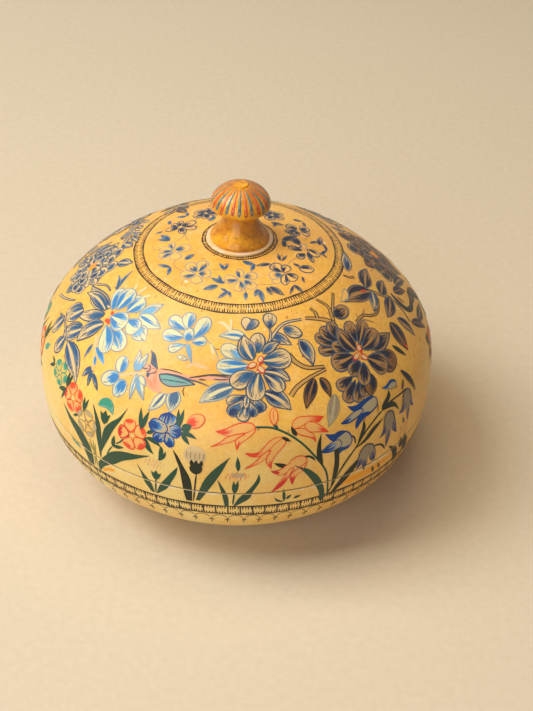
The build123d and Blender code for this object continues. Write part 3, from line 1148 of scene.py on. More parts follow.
# Rows as in the wreath
PALE_FLOWER = (
    ("pale right pear", 1.2, -5, -4.8, -8.4, 3.6), ("pale one spike", 1.4, -4.6, 5.2, -11.2, 1.6),
    ("lit right round", 2.8, -3.6, 7.8, -1.6, 3.8), ("lit left round", -0.6, -2.4, -8.8, -3.4, 5),
    ("lit left round", -0.8, 0.4, -8.4, 3.4, 4.9), ("lit right round", 2.4, -2.4, 5, 7, 5.4, -0.5),
    ("lit right round", -0.2, 0.6, -1.6, 7.2, 4.9, 0.3), ("lit base ball", 1.2, -3.6, 0.2, 1.4, 3.9),
)

LIGHT_FLOWER = (
    ("pale one leaf", 10, 7, 14, 16, 4.6), ("lit streak leaf", 10, 7, 21.4, 8.6, 5.4),
    ("pale base leaf", 12.5, 3, 20.4, 1.6, 6.4), ("half two leaf", -3, 1.6, -22, 1.4, 6.6, 1.2),
    ("half two leaf", -4, -0.4, -21, -1.8, 4.6, -1.4), ("half base point", -3, -1.6, -15.2, -9.6, 4.8, 0.6),
    ("lit two round", 4.6, 4.6, 5.8, 12.6, 7.6), ("lit left round", 7.4, 2.6, 14.6, 2.4, 6.8),
    ("lit one round", -1.4, 1.4, -6.4, 9.4, 5.6), ("lit two round", 0.2, 2.6, -1.6, 12.2, 7.6),
    ("lit one round", 3.4, -3.2, 15, -7.4, 7.4, 0.8), ("lit left round", 1.6, -4, 9.6, -12.2, 6.6, 0.8),
    ("lit two round", 0.2, -0.4, 8.8, 1.2, 7.8), ("half two point", 0.2, -4.4, -5.4, -16.6, 6.6, -1.4),
)

LIGHT_FLOWER_LEAVES = (
    ("sprig full spike", -8.4, 7.4, -10.6, 16.8, 2.2, 0.5), ("sprig full spike", -8.6, 8.4, -14.2, 11.8, 1.8, -0.5),
    ("brook full leaf", 5, -12.6, 13.4, -15.8, 2.6, 0.5), ("brook full leaf", 7.4, -15.2, 10.2, -18.6, 1.4),
    ("sprig full leaf", 2.6, -12.6, 3.2, -19.4, 1.7), ("half two oval", -7.6, -12, -15.6, -19.6, 6.8, 0.6),
    ("half two oval", -14.6, -6.8, -21.6, -14.2, 6.6, 0.6),
)

GREAT_FLOWER = (
    ("half one leaf", 4.4, 9.6, 12.2, 5.4, 4, 0.4), ("lit streak leaf", -4, 9, -13.8, 10.4, 4, -1),
    ("soft two leaf", -10, -8.4, -23.6, -14.4, 6.2, -0.9), ("dim two leaf", 0.6, -11.4, 9.8, -18.8, 6.4, 0.8),
    ("dim one pear", -5.6, -12, -13.2, -14.6, 4.2), ("dim most pear", -3.4, -12.4, -0.8, -18.6, 4.8),
    ("dim most pear", -6.2, -13, -12.8, -19.4, 5), ("dim most pear", -5, -14, -4.2, -20.4, 4.4),
    ("dim two pear", -5.8, -14.6, -8.6, -22, 4.6), ("half streak oval", -5.6, -11.6, -6.6, -17, 2.4),
    ("pale base round", -5, 1.4, -13.4, 6, 5.4, -0.4), ("lit two round", -4, -1, -15.6, -0.4, 6, 0.5),
    ("half base round", -0.4, 3.4, -0.8, 10.4, 5.4, -0.6), ("half one leaf", 1.2, 3, 8, 6.8, 3.4, 0.5),
    ("dim two point", 1.2, -3.6, 10, -7.6, 4.8, 0.8), ("dim two round", 0.8, -4.6, 7, -11.4, 5.4, 0.6),
    ("half one round", -2, -3.8, -10.8, -8.4, 6.6, -0.5), ("half two round", -0.8, -4, -3, -14.2, 6.8, -0.4),
    ("half two round", 0.8, 0.4, 11.2, 1.6, 7.4, -0.6), ("half two point", -2.4, 1, -4.8, 10, 6.4, 0.8),
)

GREAT_FLOWER_BUDS = (
    ("dim base round", 4.6, 12, 5.8, 18, 5), ("half base oval", 10, 12, 16.8, 9.4, 4.6, -0.3),
    ("dim one leaf", 15.2, 7.2, 19.6, -2.8, 5.2, 1),
)

DARK_FLOWER = (
    ("dusk two round", -7, 4.6, -15.6, 7.6, 4.6, -0.5), ("dusk one round", -7, 6, -13.6, 13, 5, -0.4),
    ("dusk one round", -6.6, 7.6, -9.4, 14.8, 5), ("dusk one round", -5.4, 8, -4.6, 15, 4.8),
    ("dusk one pear", -8.6, -6, -17.2, -7.4, 5), ("dusk one pear", -8.6, -7.6, -16.8, -13.6, 5.4),
    ("dusk one pear", -7.6, -8.6, -12.2, -16, 5.2), ("dusk one pear", -6.4, -8.6, -8, -15.4, 4.2),
    ("deep two round", 5.4, -4.6, 12.4, -12.2, 9, 0.6), ("deep left point", -1.6, -8.6, -5.8, -16.4, 6),
    ("dusk one leaf", 5, -1.4, 18.4, -0.8, 6), ("dusk one round", -3.6, 2.4, -9.8, 7.4, 4.8),
    ("dusk two round", -4, 0.4, -14, 1.6, 7.2, 0.4), ("dusk one round", -2.8, -2.6, -9.4, -5.2, 5.4),
    ("dusk base round", 0.4, 4.2, 2.2, 11.8, 5.4, -0.3), ("dusk two round", 1, 2.6, 9.6, 8.6, 5.4),
    ("dusk one round", -1.8, -3.8, -6.4, -11.2, 5.8), ("dusk two round", 0.8, -3, 7.8, -10.4, 8.2),
    ("dusk two round", 1, 0.8, 12.2, 3.6, 6.6, -0.8), ("dusk two point", -1.8, 1.6, -3.4, 11.8, 6.8, 0.6),
)

DARK_FLOWER_LEAVES = (
    ("dusk base ball", -0.6, 15.6, 6.8, 16, 5.2), ("dusk two leaf", 24.4, 16, 8, 18, 7.4, -1.2),
    ("open bare leaf", 12.8, 22.4, 6, 19.2, 2.6, 1.2),
)


# Root and tip of a ring of petals, as shares of the flower, and its turn, as a share of a petal
PEONY_RINGS = ((0.5, 1.0, 0.0), (0.36, 0.8, 0.5), (0.22, 0.62, 0.0), (0.1, 0.44, 0.5))


def peony(art, spot, palettes, x, y, radius, petals=9, start=10.0):
    """A full flower: rings of narrow petals, the nearer ones over the farther, round an orange eye."""
    for ring, (near, reach, shift) in enumerate(PEONY_RINGS):
        count = petals - 2 * (ring > 1)
        for i in range(count):
            a = math.radians(start + 360 / count * (i + shift))
            far = radius * reach * art.dice.uniform(0.9, 1.08)
            look = f"{palettes[(i + ring) % len(palettes)]} {'core round' if (i + ring) % 3 else 'two point'}"
            dx, dy = radius * math.cos(a), radius * math.sin(a)
            wide = radius * art.dice.uniform(0.36, 0.46)
            spot.count = ring * 3 + i % 2
            share = far / radius
            art.shape(spot, look, x + near * dx, y + near * dy, x + share * dx, y + share * dy, wide, 0.6)
    spot.count = 14
    art.shape(spot, "ember full ball", x - 2.2, y, x + 2.2, y, 4.2)


def eye(art, spot, x, y):
    """Three small loops and some dots of red in the middle of a flower."""
    spot.count = max(spot.count, 18)
    art.shape(spot, "loop bare ball", x, y + 1.0, x + 1.2, y + 3.2, 1.9)
    art.shape(spot, "loop bare ball", x - 4.0, y - 0.4, x - 1.0, y + 0.6, 1.9)
    art.shape(spot, "loop bare ball", x - 0.4, y - 0.4, x + 1.4, y - 2.8, 1.9)
    for dx, dy in ((-1.2, 0.6), (-2.8, -0.8), (0.2, 0.3), (-0.8, -1.6), (-4.3, -0.6), (0.9, 0.6)):
        path = ((x + dx - 0.4, y + dy - 0.2), (x + dx + 0.4, y + dy + 0.2))
        art.stroke(spot, path, 0.7, "crimson", DOT_LIFT)


class ShoulderFlowers(bpy.types.Operator):
    """Paint the large blue flowers round the shoulder of the lid"""

    bl_idname = "naqashi.flowers"
    bl_label = "Shoulder flowers"

    def execute(self, context):
        art = Painting(context.scene, 21)
        spot = Spot(-20, 50)
        art.bloom(spot, PALE_FLOWER)
        spot = Spot(-56, 58)
        art.bloom(spot, LIGHT_FLOWER)
        for path in (((-1, 1), (0.6, 0.4)), ((0.4, -1.6), (2.2, -3.2)), ((-0.6, -2.2), (0.8, -3.2))):
            art.stroke(spot, path, 1.3, "vermilion", DOT_LIFT)
        spot = Spot(10, 59)
        art.bloom(spot, GREAT_FLOWER)
        eye(art, spot, -0.4, -1.2)
        spot = Spot(49, 66)
        art.bloom(spot, DARK_FLOWER)
        eye(art, spot, -0.6, -0.6)
        peony(art, Spot(-92, 60), ("dim", "half", "dim"), 0, 0.5, 15)
        peony(art, Spot(108, 58), ("dusk", "deep"), 0, 0, 15.5, start=25)
        for turn, down, rows, tilt in (
            (150, 60, GREAT_FLOWER, 20),
            (196, 61, DARK_FLOWER, -10),
            (233, 61, GREAT_FLOWER, -25),
        ):
            spot = Spot(turn, down, tilt)
            art.bloom(spot, rows)
            eye(art, spot, -0.4, -1.0)
        art.bloom(Spot(172, 48, 10), PALE_FLOWER)
        art.piece("shoulder_flowers", "lid")
        return {"FINISHED"}


# ---------------------------------------------------------------- leaves and branches


class LeafSprays(bpy.types.Operator):
    """Paint the leaves, buds, twigs and branches between the flowers"""

    bl_idname = "naqashi.sprays"
    bl_label = "Leaf sprays"

    def execute(self, context):
        art = Painting(context.scene, 31)
        for group in (left_spray, pale_spray, great_spray, dark_spray, right_spray, back_sprays):
            group(art)
        art.piece("leaf_sprays", "lid")
        return {"FINISHED"}


def left_spray(art):
    """Round two-toned leaves, a long leaf and blue sprigs left of the front."""
    spot = Spot(-56, 58)
    art.twig(spot, "white", 1.3, ((1.6, -9), (5, -13.6), (8.6, -18), (11.6, -22)))
    art.bloom(spot, LIGHT_FLOWER_LEAVES)
    for path in (((1.6, 12), (2, 16.4)), ((-1, 12), (-2.4, 14.4)), ((4.4, 12), (6.6, 15))):
        art.stroke(spot, path, 0.9, "cream")
    spot = Spot(-62, 76)
    art.shape(spot, "half two leaf", -2.4, -1.6, 14, -10, 7.8, 1.6)
    art.leaves(spot, "half two oval", (
        (-1.2, 6.8, -8.8, -0.2, 6.2, 0.5), (-10.6, 10.8, -16.4, 4, 6.2, 0.5), (-15, 2.4, -17, -6, 5.8),
        (-5.8, -1.5, -6.8, -9, 6),
    ))
    art.shape(spot, "jade full leaf", -17, -14, -12.5, -9.5, 3)
    art.twig(spot, "twig", 0.9, ((-3, -1.6), (-9, 0.6), (-14, 2), (-20, 1)))
    spot = Spot(-42, 74)
    art.twig(spot, "white", 1.1, ((14, 5.6), (9.4, 3), (5.4, 0.4), (3, -0.4)))
    art.bloom(spot, (
        ("lit right ball", 4.8, 1.2, 2.6, 7, 5.2), ("lit base ball", 5.2, 0, -1, -4.6, 5.6),
        ("lit one ball", 8, -0.2, 7.6, -7.2, 5.6),
    ))
    art.leaves(spot, "half full leaf", (
        (-8, -3, -10.2, -7.8, 2.2), (-7, -3.6, -5.8, -9.6, 1.7), (-5.6, -4.4, -0.6, -9, 1.7),
    ))
    art.bloom(spot, (
        ("pale base leaf", 10.2, 4.4, 7.2, 11.8, 2.6), ("pale base leaf", 10.8, 4.8, 10.8, 12, 2.8),
        ("pale streak leaf", 11.2, 3.8, 13.6, -5.4, 2.2), ("pale right leaf", 12, 3.4, 18.8, -3.4, 2.8),
        ("pale bare leaf", 12.6, 3.8, 16.8, 1.4, 2.2),
    ))
    spot = Spot(-92, 60)
    art.bloom(spot, (
        ("half two leaf", 7, 13, 10.8, 19.6, 4.4), ("half two leaf", -6, 13.6, -0.8, 18.4, 4.2),
        ("half one leaf", 3, -11, 8, -9.2, 3.4), ("half one leaf", -11, 12, -18, 16, 6),
    ))
    art.twig(spot, "twig", 1.0, ((2, -18), (8, -14), (12, -10.6), (15.4, -7)))
    art.twig(spot, "twig", 0.8, ((14, 4), (18, 8.6), (22, 10)))


def pale_spray(art):
    """Curling stem and small pale leaves under the pale flower, and the twigs beside it."""
    spot = Spot(-20, 50)
    art.stroke(spot, ((7.8, -1.4), (10.6, -3), (13, -5.6), (14.4, -8)), 0.4, "mist")
    art.stroke(spot, ((9.6, -2.4), (10.8, -4.4), (12, -6.2)), 1.0, "cream")
    art.bloom(spot, (
        ("white bare leaf", 5.4, -11, 13, -11.6, 1.3, -0.3), ("white bare leaf", 6, -11.2, 3.6, -13.8, 1.1),
        ("pale bare leaf", -0.8, -10, 3.6, -10.4, 1.8),
    ))
    art.stroke(spot, ((1, -10.2), (1.9, -10.3)), 0.9, "tan")
    for path in (((14.4, 5), (11.4, 6.6), (9.4, 6.2)), ((14.6, 5.4), (13.2, 8.8))):
        art.stroke(spot, path, 0.7, "cream")


def great_spray(art):
    """Buds, long stem and boughs round the great flower."""
    spot = Spot(10, 59)
    lobes(art, spot, (
        ("half left", ((-4, 12), (-1, 12.4), (1, 13.8), (1, 15.4), (-0.4, 16), (-1.4, 15.6)),
         ((-4, 12), (-5.2, 14.5), (-4.6, 16.6), (-2.8, 17))),
    ))
    art.twig(spot, "twig", 1.2, ((3.6, 6.4), (7, 11), (11, 14), (17.6, 15.2)))
    art.twig(spot, "twig", 1.0, ((3, 5.4), (4.8, 9), (4.8, 12)))
    art.twig(spot, "bough", 1.8, ((10.6, 2), (13, -1), (17.4, -3.4), (24.4, -3.6)))
    art.twig(spot, "bough", 1.8, ((10, -13.4), (13, -10), (18.4, -7), (25, -4.6)))
    art.bloom(spot, GREAT_FLOWER_BUDS)
    art.bloom(spot, (
        ("deep two leaf", 19.8, -7.8, 15.8, -19, 5, -0.4), ("deep right leaf", 22, -7.8, 26.2, -16, 3.4, 0.6),
    ))
    for path in (((-9.4, 11.8), (-11.4, 14.6), (-14, 16.2)), ((-9.4, 12), (-8.6, 16.8))):
        art.stroke(spot, path, 0.9, "cream")
    spot = Spot(30, 80)
    art.shape(spot, "grey two leaf", 3.4, 4.4, -2.2, -6.4, 4.8, 0.3)


def dark_spray(art):
    """Twigs, bud and leaves above the dark flower."""
    spot = Spot(49, 66)
    art.twig(spot, "bough", 1.4, ((-3, 12), (-2.6, 14.6), (1, 18.6), (6.4, 23.4)))
    art.twig(spot, "bough", 1.8, ((-2.8, 13.6), (-6, 17), (-12, 20.8)))
    art.twig(spot, "bough", 1.3, ((-7.6, 18.4), (-6.8, 20.4), (-7.4, 23)))
    art.twig(spot, "bough", 1.3, ((-2, 16), (-0.4, 20), (-2.4, 24.6)))
    art.twig(spot, "bough", 1.0, ((6, 9.6), (11, 10.4), (15, 8.6), (20, 8.2), (26, 12)))
    for path in (((9, 10.2), (12, 7.6), (14, 6)), ((8, 10), (8.6, 12.4)), ((11.6, 11), (14, 12))):
        art.stroke(spot, path, 0.6, "tan")
    art.bloom(spot, DARK_FLOWER_LEAVES)
    art.stroke(spot, ((19, 18.4), (22.6, 17.2)), 0.8, "vermilion", TOP_LIFT)


def right_spray(art):
    """The leafy bough at the right, with dark two-toned leaves."""
    spot = Spot(68, 60)
    art.twig(spot, "bough", 1.3, ((6.5, 8), (11, 2), (14, -1), (15, -8), (14, -14)))
    art.twig(spot, "bough", 0.9, ((7.6, 14.6), (5.4, 16), (4, 18.4)))
    art.bloom(spot, (
        ("dusk two leaf", 7, 9, 18.4, 12, 6, 0.6), ("half two leaf", 8, 6.5, -0.5, 1.5, 4.8, 0.6),
        ("dusk two leaf", 11, 2.4, 20.4, 4, 5.2, 0.4), ("dusk two leaf", 14, -1, 3, -4, 5.8, 0.6),
        ("dim one leaf", 8, 18, 20, 23, 4.2), ("deep two leaf", 2, -6, 0.2, -19, 6.6),
        ("dusk left leaf", 7.5, -8, 10.4, -19, 4, 1), ("black full leaf", -6, -12, -2.6, -20, 2),
    ))
    art.stroke(spot, ((0.4, -16), (0.8, -18.4)), 1.2, "vermilion", TOP_LIFT)
    spot = Spot(92, 60)
    art.stroke(spot, ((-7.2, -2), (-9, -7), (-8.4, -12), (-4, -14.4), (3, -14)), 2.6, "moss")
    art.stroke(spot, ((-6.6, -5), (-6, -9.6)), 1.2, "tan", TOP_LIFT)
    art.leaves(spot, "deep two leaf", (
        (-8, -19, 6, -22, 5, -0.8), (-5, -4, 3, -11, 4, 0.8), (-14, -15, -7, -26, 4, 0.8),
    ))
    art.bloom(spot, (
        ("dusk two leaf", 1, -5, 13, -13, 4.4, 1), ("deep two leaf", -1, -15, 12, -17, 4.4, 0.8),
        ("black full leaf", 3, -12, 8, -22, 1.8, 0.8), ("deep two leaf", 8, -14, 16, -26, 4.6, -0.8),
    ))


def leafy_bough(art, turn, down, tilt, looks, size=1.0):
    """A curved bough with pairs of two-toned leaves and a leaf at its end."""
    spot = Spot(turn, down, tilt, size)
    art.twig(spot, "bough", 1.2, ((-15, -5), (-8, -1), (0, 0.6), (8, 4), (13, 10)))
    for i, (x, y, heading) in enumerate(((-10, -2, 25), (-2.5, 0.3, 15), (5, 2.6, 30), (10.6, 7, 50))):
        for hand in (1, -1):
            a = math.radians(heading + hand * art.dice.uniform(42, 62))
            reach = art.dice.uniform(8, 10)
            dx, dy = reach * math.cos(a), reach * math.sin(a)
            look = f"{looks[(i + (hand > 0)) % len(looks)]} two leaf"
            art.shape(spot, look, x + 0.1 * dx, y + 0.1 * dy, x + dx, y + dy, 4.6, hand * 0.5)
    art.shape(spot, f"{looks[0]} two leaf", 13, 10, 17, 18.4, 4.8, 0.4)


def back_sprays(art):
    """Boughs and buds of the same kind carried round the back of the box."""
    for turn, down, tilt, looks, size in (
        (129, 73, -14, ("half", "dusk"), 0.9),
        (129, 49, 28, ("open", "half"), 0.75),
        (216, 74, 20, ("dusk", "dim"), 0.95),
        (214, 48, -24, ("dusk", "half"), 0.75),
        (251, 72, -24, ("half", "dim"), 0.9),
        (245, 47, 12, ("half", "open"), 0.6),
    ):
        leafy_bough(art, turn, down, tilt, looks, size)
    for turn, down, tilt in ((150, 79, 200), (172, 61, 60), (232, 82, 190)):
        art.bloom(Spot(turn, down, tilt, 0.8), GREAT_FLOWER_BUDS)


# ---------------------------------------------------------------- bulbul


class PaintBulbul(bpy.types.Operator):
    """Paint the crested bulbul that sits between the flowers"""

    bl_idname = "naqashi.bulbul"
    bl_label = "Bulbul"

    def execute(self, context):
        art = Painting(context.scene, 41)
        for turn, down, tilt in ((-20, 69, 0), (178, 74, -6)):
            bulbul(art, Spot(turn, down, tilt))
        art.piece("bulbul", "lid")
        return {"FINISHED"}


BULBUL_LOBES = (
    ("blush bare", ((-3, -2.4), (0, -1.8), (5.4, -0.6)), ((-2.6, -4.9), (1, -4.2), (5.4, -1.8))),
    ("breast bare", ((-5.6, 3.4), (0, 3.7), (4, 3.5), (8, 3.6), (12, 5.1), (16, 6.3), (20.6, 6.9)),
     ((-5, 1.6), (-2, 2.2), (3, 2.4), (7, 2.2), (10, 2.9), (14, 3.8), (20.5, 4.5))),
    ("breast full", ((-9.8, 4), (-10.2, 1), (-9.7, -1.8), (-7.8, -4.4), (-5, -5.3), (-2.6, -4.9)),
     ((-6, 3), (-5.2, 1.5), (-4.2, -0.4), (-3.4, -2), (-2.6, -3.2), (-2.4, -4.5))),
    ("breast bare", ((-9.6, 3.7), (-10.8, 3.2), (-12.1, 2.4)), ((-9.8, 0.8), (-10.7, 1.3), (-12.1, 2.2))),
    ("crest full", ((-11.1, 8.7), (-10.2, 7), (-9.8, 5.4), (-9.5, 4)),
     ((-11.1, 8.7), (-8.8, 7.7), (-7.2, 5.2), (-5.8, 2.4))),
    ("crest bare", ((-9.7, 0.7), (-9.8, -0.3), (-9, -1.1)), ((-8.5, 0.8), (-8.4, -0.2), (-8.8, -1))),
    ("wing full", ((-4.9, 1.2), (-2, 2), (2, 2.1), (6, 1.6), (8.8, 0.9)),
     ((-4.9, 1.2), (-3.6, -0.9), (-1, -1.9), (2, -1.6), (8.8, 0.9))),
)

BULBUL_LINES = (
    (((-5.2, 3.2), (-1, 3.7), (3.4, 3.5)), 0.34, "umber"),
    (((6, 2.7), (9.5, 4.1), (14, 5.7), (20.4, 6.8)), 0.55, "umber"),
    (((12, 5.1), (16, 5.8), (20.4, 6.1)), 0.4, "slate"), (((14.6, 4.3), (17, 4.6), (20.3, 5.4)), 0.36, "slate"),
    (((9.6, 2.9), (10.8, 3.2), (12.2, 3.3)), 0.4, "umber"),
    (((-2.4, 2.2), (2, 2.4), (6, 2.1), (10, 2), (13.8, 1.5)), 0.5, "slate"),
    (((-4, -0.3), (0, 0.2), (6, 0.7)), 0.3, "slate"), (((-12.2, 1.9), (-11, 1.7), (-9.9, 2.2)), 0.4, "slate"),
    (((-10.4, 3.3), (-9.4, 3.2), (-8.9, 2.4), (-9.2, 1.2), (-10.2, 1)), 0.45, "slate"),
    (((-8.5, 0.5), (-7, 1.2), (-6.1, 2.2)), 0.34, "slate"), (((-8, 2.5), (-7.5, 2.6)), 0.75, "night"),
    (((5.4, -0.8), (5.3, -2.5), (6.4, -4.2)), 0.3, "umber"),
)


def bulbul(art, spot):
    """One bird that faces left, with a long tail, on two small leaves."""
    art.bloom(spot, (
        ("soft streak leaf", -0.8, -4.4, -5.3, -12.6, 4, 0.4), ("soft one leaf", 2.6, -2.4, 2.9, -11.2, 5.4),
    ))
    for look, left, right in BULBUL_LOBES:
        art.lobe(spot, look, left, right)
    for points, width, paint in BULBUL_LINES:
        art.stroke(spot, points, width, paint, TOP_LIFT)


# ---------------------------------------------------------------- border plants

# Lobes: look, left edge and right edge, from root to tip. The right one ends at the left one's tip.
RED_BELLS_LOW = (
    ("red tip", ((4.2, 17.8), (3.2, 19.5), (0.5, 20.1), (-3, 19.4), (-6.5, 17.8), (-10.4, 16.6)),
     ((4.2, 17.8), (1, 16.4), (-3, 15.6), (-5.4, 15.1), (-8.2, 15.6))),
    ("red tip", ((0.2, 16.2), (-3.6, 15.5), (-6.3, 14.5), (-8.6, 12.6), (-12, 10.6)),
     ((0.2, 16.2), (-1, 15), (-4, 13.2), (-8, 11.8))),
    ("red tip", ((0.4, 15.8), (-2, 14.6), (-3.1, 13.2), (-3, 11.8), (-2.5, 9.8)),
     ((4.2, 17.8), (3.6, 16.2), (1.5, 14.3), (-1.2, 12.3))),
    ("red tip", ((14.6, 14), (12, 14.2), (9, 12.6), (6.5, 9.9), (4.4, 8.4), (0.6, 8.4)),
     ((14.6, 14), (11.6, 12), (9, 9.6), (6, 7.4), (3, 7))),
    ("red tip", ((9.8, 9.4), (7.5, 8.6), (5.8, 6.8), (3.6, 4.4), (0.4, 1.8)),
     ((9.8, 9.4), (9.3, 7.8), (7.5, 5.7), (5, 4))),
    ("red tip", ((9.6, 9), (8.2, 6.6), (8.2, 4), (9.9, 1.5)),
     ((14.8, 13.8), (15.2, 11.6), (11.8, 7.7), (10.2, 4.6))),
    ("ruby tip", ((17.6, 3.6), (15.6, 2.4), (13, 0.6), (10, 0.2)), ((17.6, 0.6), (16, -0.8), (13.4, -1.9))),
    ("red bare", ((23.6, 3.4), (22.6, 5.2), (20, 5.6), (17.2, 4.2)),
     ((23.6, 3.4), (23.4, 0.6), (20.4, -0.6)), (17.2, 0.4)),
    ("ruby tip", ((23.4, 2.4), (19, -0.6), (17.3, -2.2), (17.4, -4.6), (18.3, -7.2)),
     ((23.4, 2.4), (22, -1.4), (20.2, -2.6), (18.9, -4.8))),
    ("ruby deeptip", ((18.5, 1), (16.7, 0.2), (14, -4), (10.4, -9.7)), ((18.5, 1), (17.4, -1.4), (14.6, -6.6))),
)

RED_BELL_HIGH = (
    ("red tip", ((-8, 12.2), (-7.9, 14.4), (-5.6, 16), (-2, 15.7), (1.4, 15), (4.2, 14.2)),
     ((-8, 12.2), (-5.4, 12.4), (-3, 13.2), (-0.4, 13.8), (2, 12.8))),
    ("red brim", ((-7.8, 12.2), (-4, 11.6), (-2.4, 10.2), (-0.4, 8.4), (0.1, 5.7)),
     ((-7.8, 12.2), (-6, 9.8), (-3, 8.4), (-1, 7.2))),
    ("red tip", ((-3.7, 12.2), (-2.2, 13.6), (0.6, 12.9), (3, 10.8), (5.2, 8.3)),
     ((-3.7, 12.2), (-2, 10), (1, 9.3))),
)

ROYAL_BELL_LOW = (
    ("royal bare", ((15, 3), (13.6, 5.6), (10.6, 6.9), (8, 6.4), (7.4, 3)),
     ((15, 3), (14.9, 0.8), (13.2, -0.9), (10, -0.9))),
    ("azure bare", ((12.6, 6.4), (10.6, 7), (7, 6.8), (3.8, 7.7)), ((12.6, 6.1), (10, 5.2), (7, 3.9), (5.4, 5.2))),
    ("azure bare", ((14.4, 0.4), (12, 0.1), (10, 0.5), (8.4, 0.4), (9, -2.6)),
     ((14.4, 0), (13.2, -1.1), (11, -1.4))),
    ("royal deeptip", ((10.5, 2.2), (9.4, 3.9), (7, 3.9), (4, 2.4), (1.9, 0.8)),
     ((10.5, 2.2), (10, 0.8), (7.5, 0), (4.6, 0))),
)

ROYAL_BELL_HIGH = (
    ("royal bare", ((0.3, 10.4), (-1.4, 12.1), (-5, 12.3), (-9, 9)),
     ((0.3, 10.4), (-0.4, 8.2), (-3, 7.2), (-7, 6.6))),
    ("azure bare", ((-0.6, 11.7), (-4, 12.6), (-8, 12.1), (-11, 12.2), (-13.6, 13.2)),
     ((-0.6, 11.5), (-4, 11.2), (-8, 10.3), (-11, 9.9), (-12.6, 11.4))),
    ("azure bare", ((-4, 7.2), (-7, 8.2), (-10.2, 7.6), (-12.1, 5.6), (-12.2, 3.4)),
     ((-4, 6.8), (-8, 6), (-10, 4.8))),
    ("royal tip", ((-7.2, 9.2), (-8, 10), (-11.6, 10.1), (-15, 9.1), (-18, 8)),
     ((-7.2, 9.2), (-9, 8.2), (-12, 7.5), (-15, 7.2))),
    ("grey bare", ((12.9, 11.4), (11.4, 12.1), (9, 12.2), (7, 11.4)), ((12.9, 11.4), (11.5, 10.2), (8.5, 10.4))),
    ("azure full", ((13.1, 11.2), (12.2, 12.8), (10, 13.5), (7, 12.7), (4.3, 12.7)),
     ((13.1, 11.2), (11, 12.2), (9, 12.2), (6.6, 11.2))),
)

VIOLET_BELLS = (
    ("violet bare", ((4.5, 3.1), (2.3, 2.1), (1.7, -0.5), (2.4, -4), (4, -6)),
     ((4.5, 3.1), (6.8, 1.9), (7.6, -1.5), (6.4, -4.4))),
    ("violet deeptip", ((3, 1.4), (3.4, -2), (2.8, -5), (-1.1, -6.1)), ((2.4, 2), (1.7, -0.5), (0.9, -3.5))),
    ("violet deeptip", ((6.4, 2), (7.7, -1.5), (8.8, -5), (9.9, -9.1)), ((5.7, 1), (5.6, -3.5), (7, -6.8))),
    ("violet deeptip", ((5.2, -1), (5.9, -5), (5, -9), (3.2, -12.6)), ((3.4, -1), (2.6, -5), (2.7, -9))),
    ("violet bare", ((17, 6.1), (14.7, 5.3), (13.9, 3), (14.4, -0.4), (16, -2)),
     ((17, 6.1), (19.4, 5), (19.9, 2.5), (19.2, -0.4))),
    ("violet deeptip", ((15, 4.6), (16, 1), (14.4, -1.7), (10.5, -1.3)), ((14.6, 4.8), (13.9, 3), (12.8, 0.8))),
    ("violet deeptip", ((19.3, 4.8), (19.9, 2.5), (20.5, -0.5), (22.2, -3.5)),
     ((18.8, 4.4), (18.2, 0), (19.3, -2.2))),
    ("violet deeptip", ((17.8, 2), (18.6, -2), (18.2, -5), (17.6, -8.6)), ((16.2, 2), (15.9, -1.5), (16.5, -5))),
    ("violet bare", ((-7.4, -5.5), (-10.1, -7), (-11.1, -9.5), (-9, -12)),
     ((-7.4, -5.5), (-4.4, -6.8), (-3.2, -9.4), (-5, -11.6))),
    ("violet deeptip", ((-9.6, -7.6), (-8.7, -11), (-9.4, -14), (-12, -15.8)),
     ((-10.4, -7.6), (-11.1, -9.5), (-11.5, -12.5))),
    ("violet deeptip", ((-4.2, -7.4), (-3.2, -9.4), (-2.3, -12), (-2.5, -15.1)),
     ((-5.2, -7.6), (-6, -11), (-4.8, -14.7))),
    ("violet deeptip", ((-6.8, -9), (-6.4, -13), (-6.8, -16), (-8, -17.9)), ((-8.4, -9), (-9.3, -13), (-9.1, -16))),
)

VIOLET_DOMES = (
    ((0.9, -3.5), (1.7, -0.5), (2.3, 2.1), (4.5, 3.2), (6.9, 1.9), (7.7, -1.5), (8.8, -5)),
    ((12.8, 0.8), (13.9, 3), (14.8, 5.3), (17, 6.2), (19.4, 5), (20, 2.5), (20.5, -0.5)),
    ((-11.5, -12.5), (-11.1, -9.5), (-10.1, -7), (-7.4, -5.4), (-4.4, -6.8), (-3.2, -9.4), (-2.3, -12)),
)


def lobes(art, spot, rows):
    """Shapes between two edges, in painting order; the fourth entry ends an open right edge."""
    for look, left, right, *end in rows:
        art.lobe(spot, look, left, (*right, end[0] if end else left[-1]))


def calyx(art, spot, x, y, heading, size=1.0, look="green"):
    """A small green cup with three teeth."""
    for lean, tall, wide in ((-28, 4.6, 1.7), (28, 4.6, 1.7), (0, 5.0, 2.6)):
        a = math.radians(heading + lean)
        dx, dy = tall * size * math.cos(a), tall * size * math.sin(a)
        bend = 0.3 * (lean < 0) - 0.3 * (lean > 0)
        art.shape(spot, f"{look} full leaf", x, y, x + dx, y + dy, wide * size, bend)


def red_flower(art, spot, x, y, radius, look="red tip round"):
    """Five red petals that hang, the last one deeper."""
    rosette(art, spot, look, x, y, radius, 254, share=0.86, heart=0.2, last="ruby tip round")


